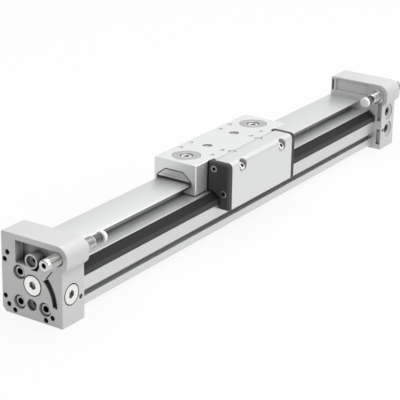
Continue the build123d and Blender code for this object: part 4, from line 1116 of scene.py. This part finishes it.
class RODLESS_OT_driver(PieceOperator, bpy.types.Operator):
    """Make the driver: its cover, inner frame, end plates, screws and dowels"""

    bl_idname = "rodless.driver"
    bl_label = "Driver"

    def execute(self, context):
        edged("driver_cover", finish_of("cover"), sizes().machined_edge)
        edged("driver_body", finish_of("cover"), sizes().machined_edge)
        for end in ("front", "rear"):
            edged(f"{end}_driver_cap", finish_of("moulded"), sizes().moulded_edge)
            edged(f"{end}_band_guide", finish_of("moulded"), sizes().moulded_edge)
        self.cap_screws()
        self.cover_screws()
        self.dowels()
        return {"FINISHED"}

    def cap_screws(self):
        """Screws of the end plates, each facing away from the slide's middle."""
        screws = []
        start, end = box("slide_block")
        for low, high in solids("driver_cap_screws"):
            directions = REAR if low[0] + high[0] > start[0] + end[0] else FRONT
            shape = round_box(low, high, directions)
            screws.append(head_screw(*shape, directions, DRIVER_CAP_SCREW, SMALL_RIM))
        outsides, sockets = zip(*screws)
        name = "driver_cap_socket_screws"
        stands_for = ("driver_cap_screws",)
        # The sockets are hollows, drawn in a flat painted shade
        piece(name, outsides, finish_of("screws"), "carriage", stands_for, hollow_shade=sockets)

    def cover_screws(self):
        """Slanting screws, placed from where their axes leave the cover's side, below its top."""
        low, high = box("driver_cover")
        mouth = np.array([0, low[1], high[2] - 5.2 * MM])
        seat = -4.2 * MM
        face = seat + COVER_SCREW[0] * MM
        tip = seat - 10 * MM
        radius = 3.5 * MM
        screws = []
        for one, other in solids("driver_cover_screws"):
            mouth[0] = (one[0] + other[0]) / 2
            screws.append(head_screw(mouth, face, tip, radius, SLANT, COVER_SCREW, SMALL_RIM))
        outsides, sockets = zip(*screws)
        name = "driver_cover_socket_screws"
        stands_for = ("driver_cover_screws",)
        # The sockets are hollows, drawn in a flat painted shade
        piece(name, outsides, finish_of("plating"), "carriage", stands_for, hollow_shade=sockets)

    def dowels(self):
        """Pins on the seam between slide and driver, chamfered at both ends."""
        grids = []
        for low, high in solids("driver_dowels"):
            centre, top, bottom, radius = round_box(low, high, UP)
            edge = 0.5 * MM
            stations = [(top, 0, 0), (top, radius - edge, 0), (top - edge, radius, 0)]
            stations += [(bottom + edge, radius, 0), (bottom, radius - edge, 0), (bottom, 0, 0)]
            grids.append(turned(centre, UP, stations))
        piece("driver_dowel_pins", grids, finish_of("dowels"), "carriage", ("driver_dowels",))


class RODLESS_OT_inner_parts(PieceOperator, bpy.types.Operator):
    """Give the piston, its rings, the yoke and the gaskets their finishes"""

    bl_idname = "rodless.inner_parts"
    bl_label = "Inner parts"

    def execute(self, context):
        inner = {
            "piston": "piston",
            "piston_seals": "rubber",
            "piston_magnets": "magnets",
            "wear_rings": "buffers",
            "piston_yoke": "cover",
            "near_cap_gasket": "rubber",
            "far_cap_gasket": "rubber",
        }
        for node, name in inner.items():
            materials = frame["nodes"][node].data.materials
            materials.clear()
            materials.append(finish_of(name))
        return {"FINISHED"}


class RODLESS_OT_stage(PieceOperator, bpy.types.Operator):
    """Make the pale floor, the soft studio light and the camera of the photograph"""

    bl_idname = "rodless.stage"
    bl_label = "Stage"

    def execute(self, context):
        self.floor()
        self.world()
        self.lamps()
        self.camera()
        context.scene.view_settings.view_transform = "Standard"
        return {"FINISHED"}

    def floor(self):
        """Flat disc just below the object, with radius and angle as its two parameters."""
        radius = np.linspace(0, FLOOR_RADIUS, 4)[:, None]
        angle = np.linspace(0, 2 * pi, 65)[None, :]
        points = np.broadcast_arrays(radius * np.cos(angle), radius * np.sin(angle), -FLOOR_DROP)
        points = np.stack(points, axis=-1)
        mesh = bpy.data.meshes.new("Floor")
        mesh.from_pydata(points.reshape(-1, 3).tolist(), [], quads(4, 65).tolist())
        finish_mesh(mesh, 1e-6, 30)
        floor = bpy.data.objects.new("Floor", mesh)
        material, tree, shader, where = finish("Pale floor", tuple(colours().ground), 0.0, 0.9)
        paper = grain(tree, where, (300, 300, 300), 1)
        vary(tree, shader, paper, tuple(colours().ground), 0.01, (0.85, 0.95))
        rays = add(tree, "LightPath")
        seen = {0: rays.outputs["Is Camera Ray"], 1: rays.outputs["Is Glossy Ray"]}
        share = add(tree, "Math", seen, operation="MAXIMUM")
        weight = add(tree, "Math", {0: share.outputs[0], 1: FLOOR_GLOW}, operation="MULTIPLY")
        glow = add(tree, "Emission", {"Color": (1, 1, 1, 1), "Strength": 1.0})
        mix = add(tree, "MixShader", {0: weight.outputs[0], 1: shader.outputs[0], 2: glow.outputs[0]})
        tree.links.new(mix.outputs[0], tree.nodes["Material Output"].inputs["Surface"])
        mesh.materials.append(material)
        bpy.context.scene.collection.objects.link(floor)

    def world(self):
        """White to the camera. To the object a soft room with a dark horizon.

        The room's level grows along the axes as ROOM_SLOPES says, so it is brightest above and behind.
        """
        world = bpy.data.worlds.new("Studio")
        world.use_nodes = True
        tree = world.node_tree
        where = add(tree, "TexCoord")
        split = add(tree, "SeparateXYZ", {"Vector": where.outputs["Generated"]})
        level = ROOM_LEVEL
        for axis, slope in ROOM_SLOPES:
            terms = {0: split.outputs[axis], 1: slope, 2: level}
            level = add(tree, "Math", terms, operation="MULTIPLY_ADD").outputs[0]
        level = add(tree, "Math", {0: level, 1: ROOM_LEAST}, operation="MAXIMUM").outputs[0]
        ends = {"From Min": HORIZON_LOW, "From Max": HORIZON_HIGH, "To Min": HORIZON_DARK, "To Max": 1.0}
        horizon = add(tree, "MapRange", {"Value": split.outputs["Z"], **ends}).outputs[0]
        level = add(tree, "Math", {0: level, 1: horizon}, operation="MULTIPLY").outputs[0]
        rays = add(tree, "LightPath")
        strength = add(tree, "Mix", {0: rays.outputs["Is Camera Ray"], 2: level, 3: 1.0}, data_type="FLOAT")
        background = tree.nodes["Background"]
        background.inputs["Color"].default_value = (1, 1, 1, 1)
        tree.links.new(strength.outputs[0], background.inputs["Strength"])
        bpy.context.scene.world = world

    def lamps(self):
        """Two large soft boxes, one above and one on the -Y side, each aimed at the middle of the object."""
        for name, place, size, power in LAMPS:
            light = bpy.data.lights.new(name, "AREA")
            light.shape = "SQUARE"
            light.size = size
            light.energy = power
            lamp = bpy.data.objects.new(name, light)
            lamp.location = place
            lamp.rotation_euler = (Vector((0, 0, 0.03)) - Vector(place)).to_track_quat("-Z", "Y").to_euler()
            bpy.context.scene.collection.objects.link(lamp)

    def camera(self):
        """Camera at the photograph's place: its axes follow from azimuth, elevation and roll."""
        azimuth, elevation, roll = (radians(v) for v in (CAMERA_AZIMUTH, CAMERA_ELEVATION, CAMERA_ROLL))
        back = Vector((sin(azimuth) * cos(elevation), -cos(azimuth) * cos(elevation), sin(elevation)))
        level = Vector((cos(azimuth), sin(azimuth), 0))
        upright = back.cross(level)
        right = level * cos(roll) + upright * sin(roll)
        up = upright * cos(roll) - level * sin(roll)
        data = bpy.data.cameras.new("Camera")
        data.sensor_width = SENSOR_WIDTH
        data.lens = CAMERA_FOCAL * SENSOR_WIDTH / FRAME_PIXELS
        data.shift_x = CAMERA_SHIFT[0] / FRAME_PIXELS
        data.shift_y = CAMERA_SHIFT[1] / FRAME_PIXELS
        data.clip_end = 50
        camera = bpy.data.objects.new("Camera", data)
        turn = Matrix((right, up, back)).transposed().to_4x4()
        camera.matrix_world = Matrix.Translation(Vector(CAMERA_PLACE) * MM) @ turn
        bpy.context.scene.collection.objects.link(camera)
        bpy.context.scene.camera = camera


OPERATORS = [
    RODLESS_OT_barrel,
    RODLESS_OT_end_caps,
    RODLESS_OT_cap_screws,
    RODLESS_OT_plugs,
    RODLESS_OT_absorbers,
    RODLESS_OT_bands,
    RODLESS_OT_slide,
    RODLESS_OT_threads,
    RODLESS_OT_adjusters,
    RODLESS_OT_driver,
    RODLESS_OT_inner_parts,
    RODLESS_OT_stage,
]


class RODLESS_PT_pieces(bpy.types.Panel):
    """Lists the sizes, the colours and the pieces"""

    bl_label = "Rodless cylinder"
    bl_space_type = "VIEW_3D"
    bl_region_type = "UI"
    bl_category = "Rodless cylinder"

    def draw(self, context):
        for group in (context.scene.cylinder_sizes, context.scene.cylinder_colours):
            column = self.layout.box().column()
            for name in group.__annotations__:
                column.prop(group, name)
        for operator in OPERATORS:
            self.layout.operator(operator.bl_idname)


CLASSES = [CylinderColours, CylinderSizes, *OPERATORS, RODLESS_PT_pieces]


def register():
    for one in CLASSES:
        bpy.utils.register_class(one)
    bpy.types.Scene.cylinder_sizes = PointerProperty(type=CylinderSizes)
    bpy.types.Scene.cylinder_colours = PointerProperty(type=CylinderColours)


def unregister():
    del bpy.types.Scene.cylinder_colours
    del bpy.types.Scene.cylinder_sizes
    for one in reversed(CLASSES):
        bpy.utils.unregister_class(one)


def main():
    """Builds every piece in order."""
    register()
    for operator in OPERATORS:
        group, name = operator.bl_idname.split(".")
        getattr(getattr(bpy.ops, group), name)()


if __name__ == "__main__":
    main()
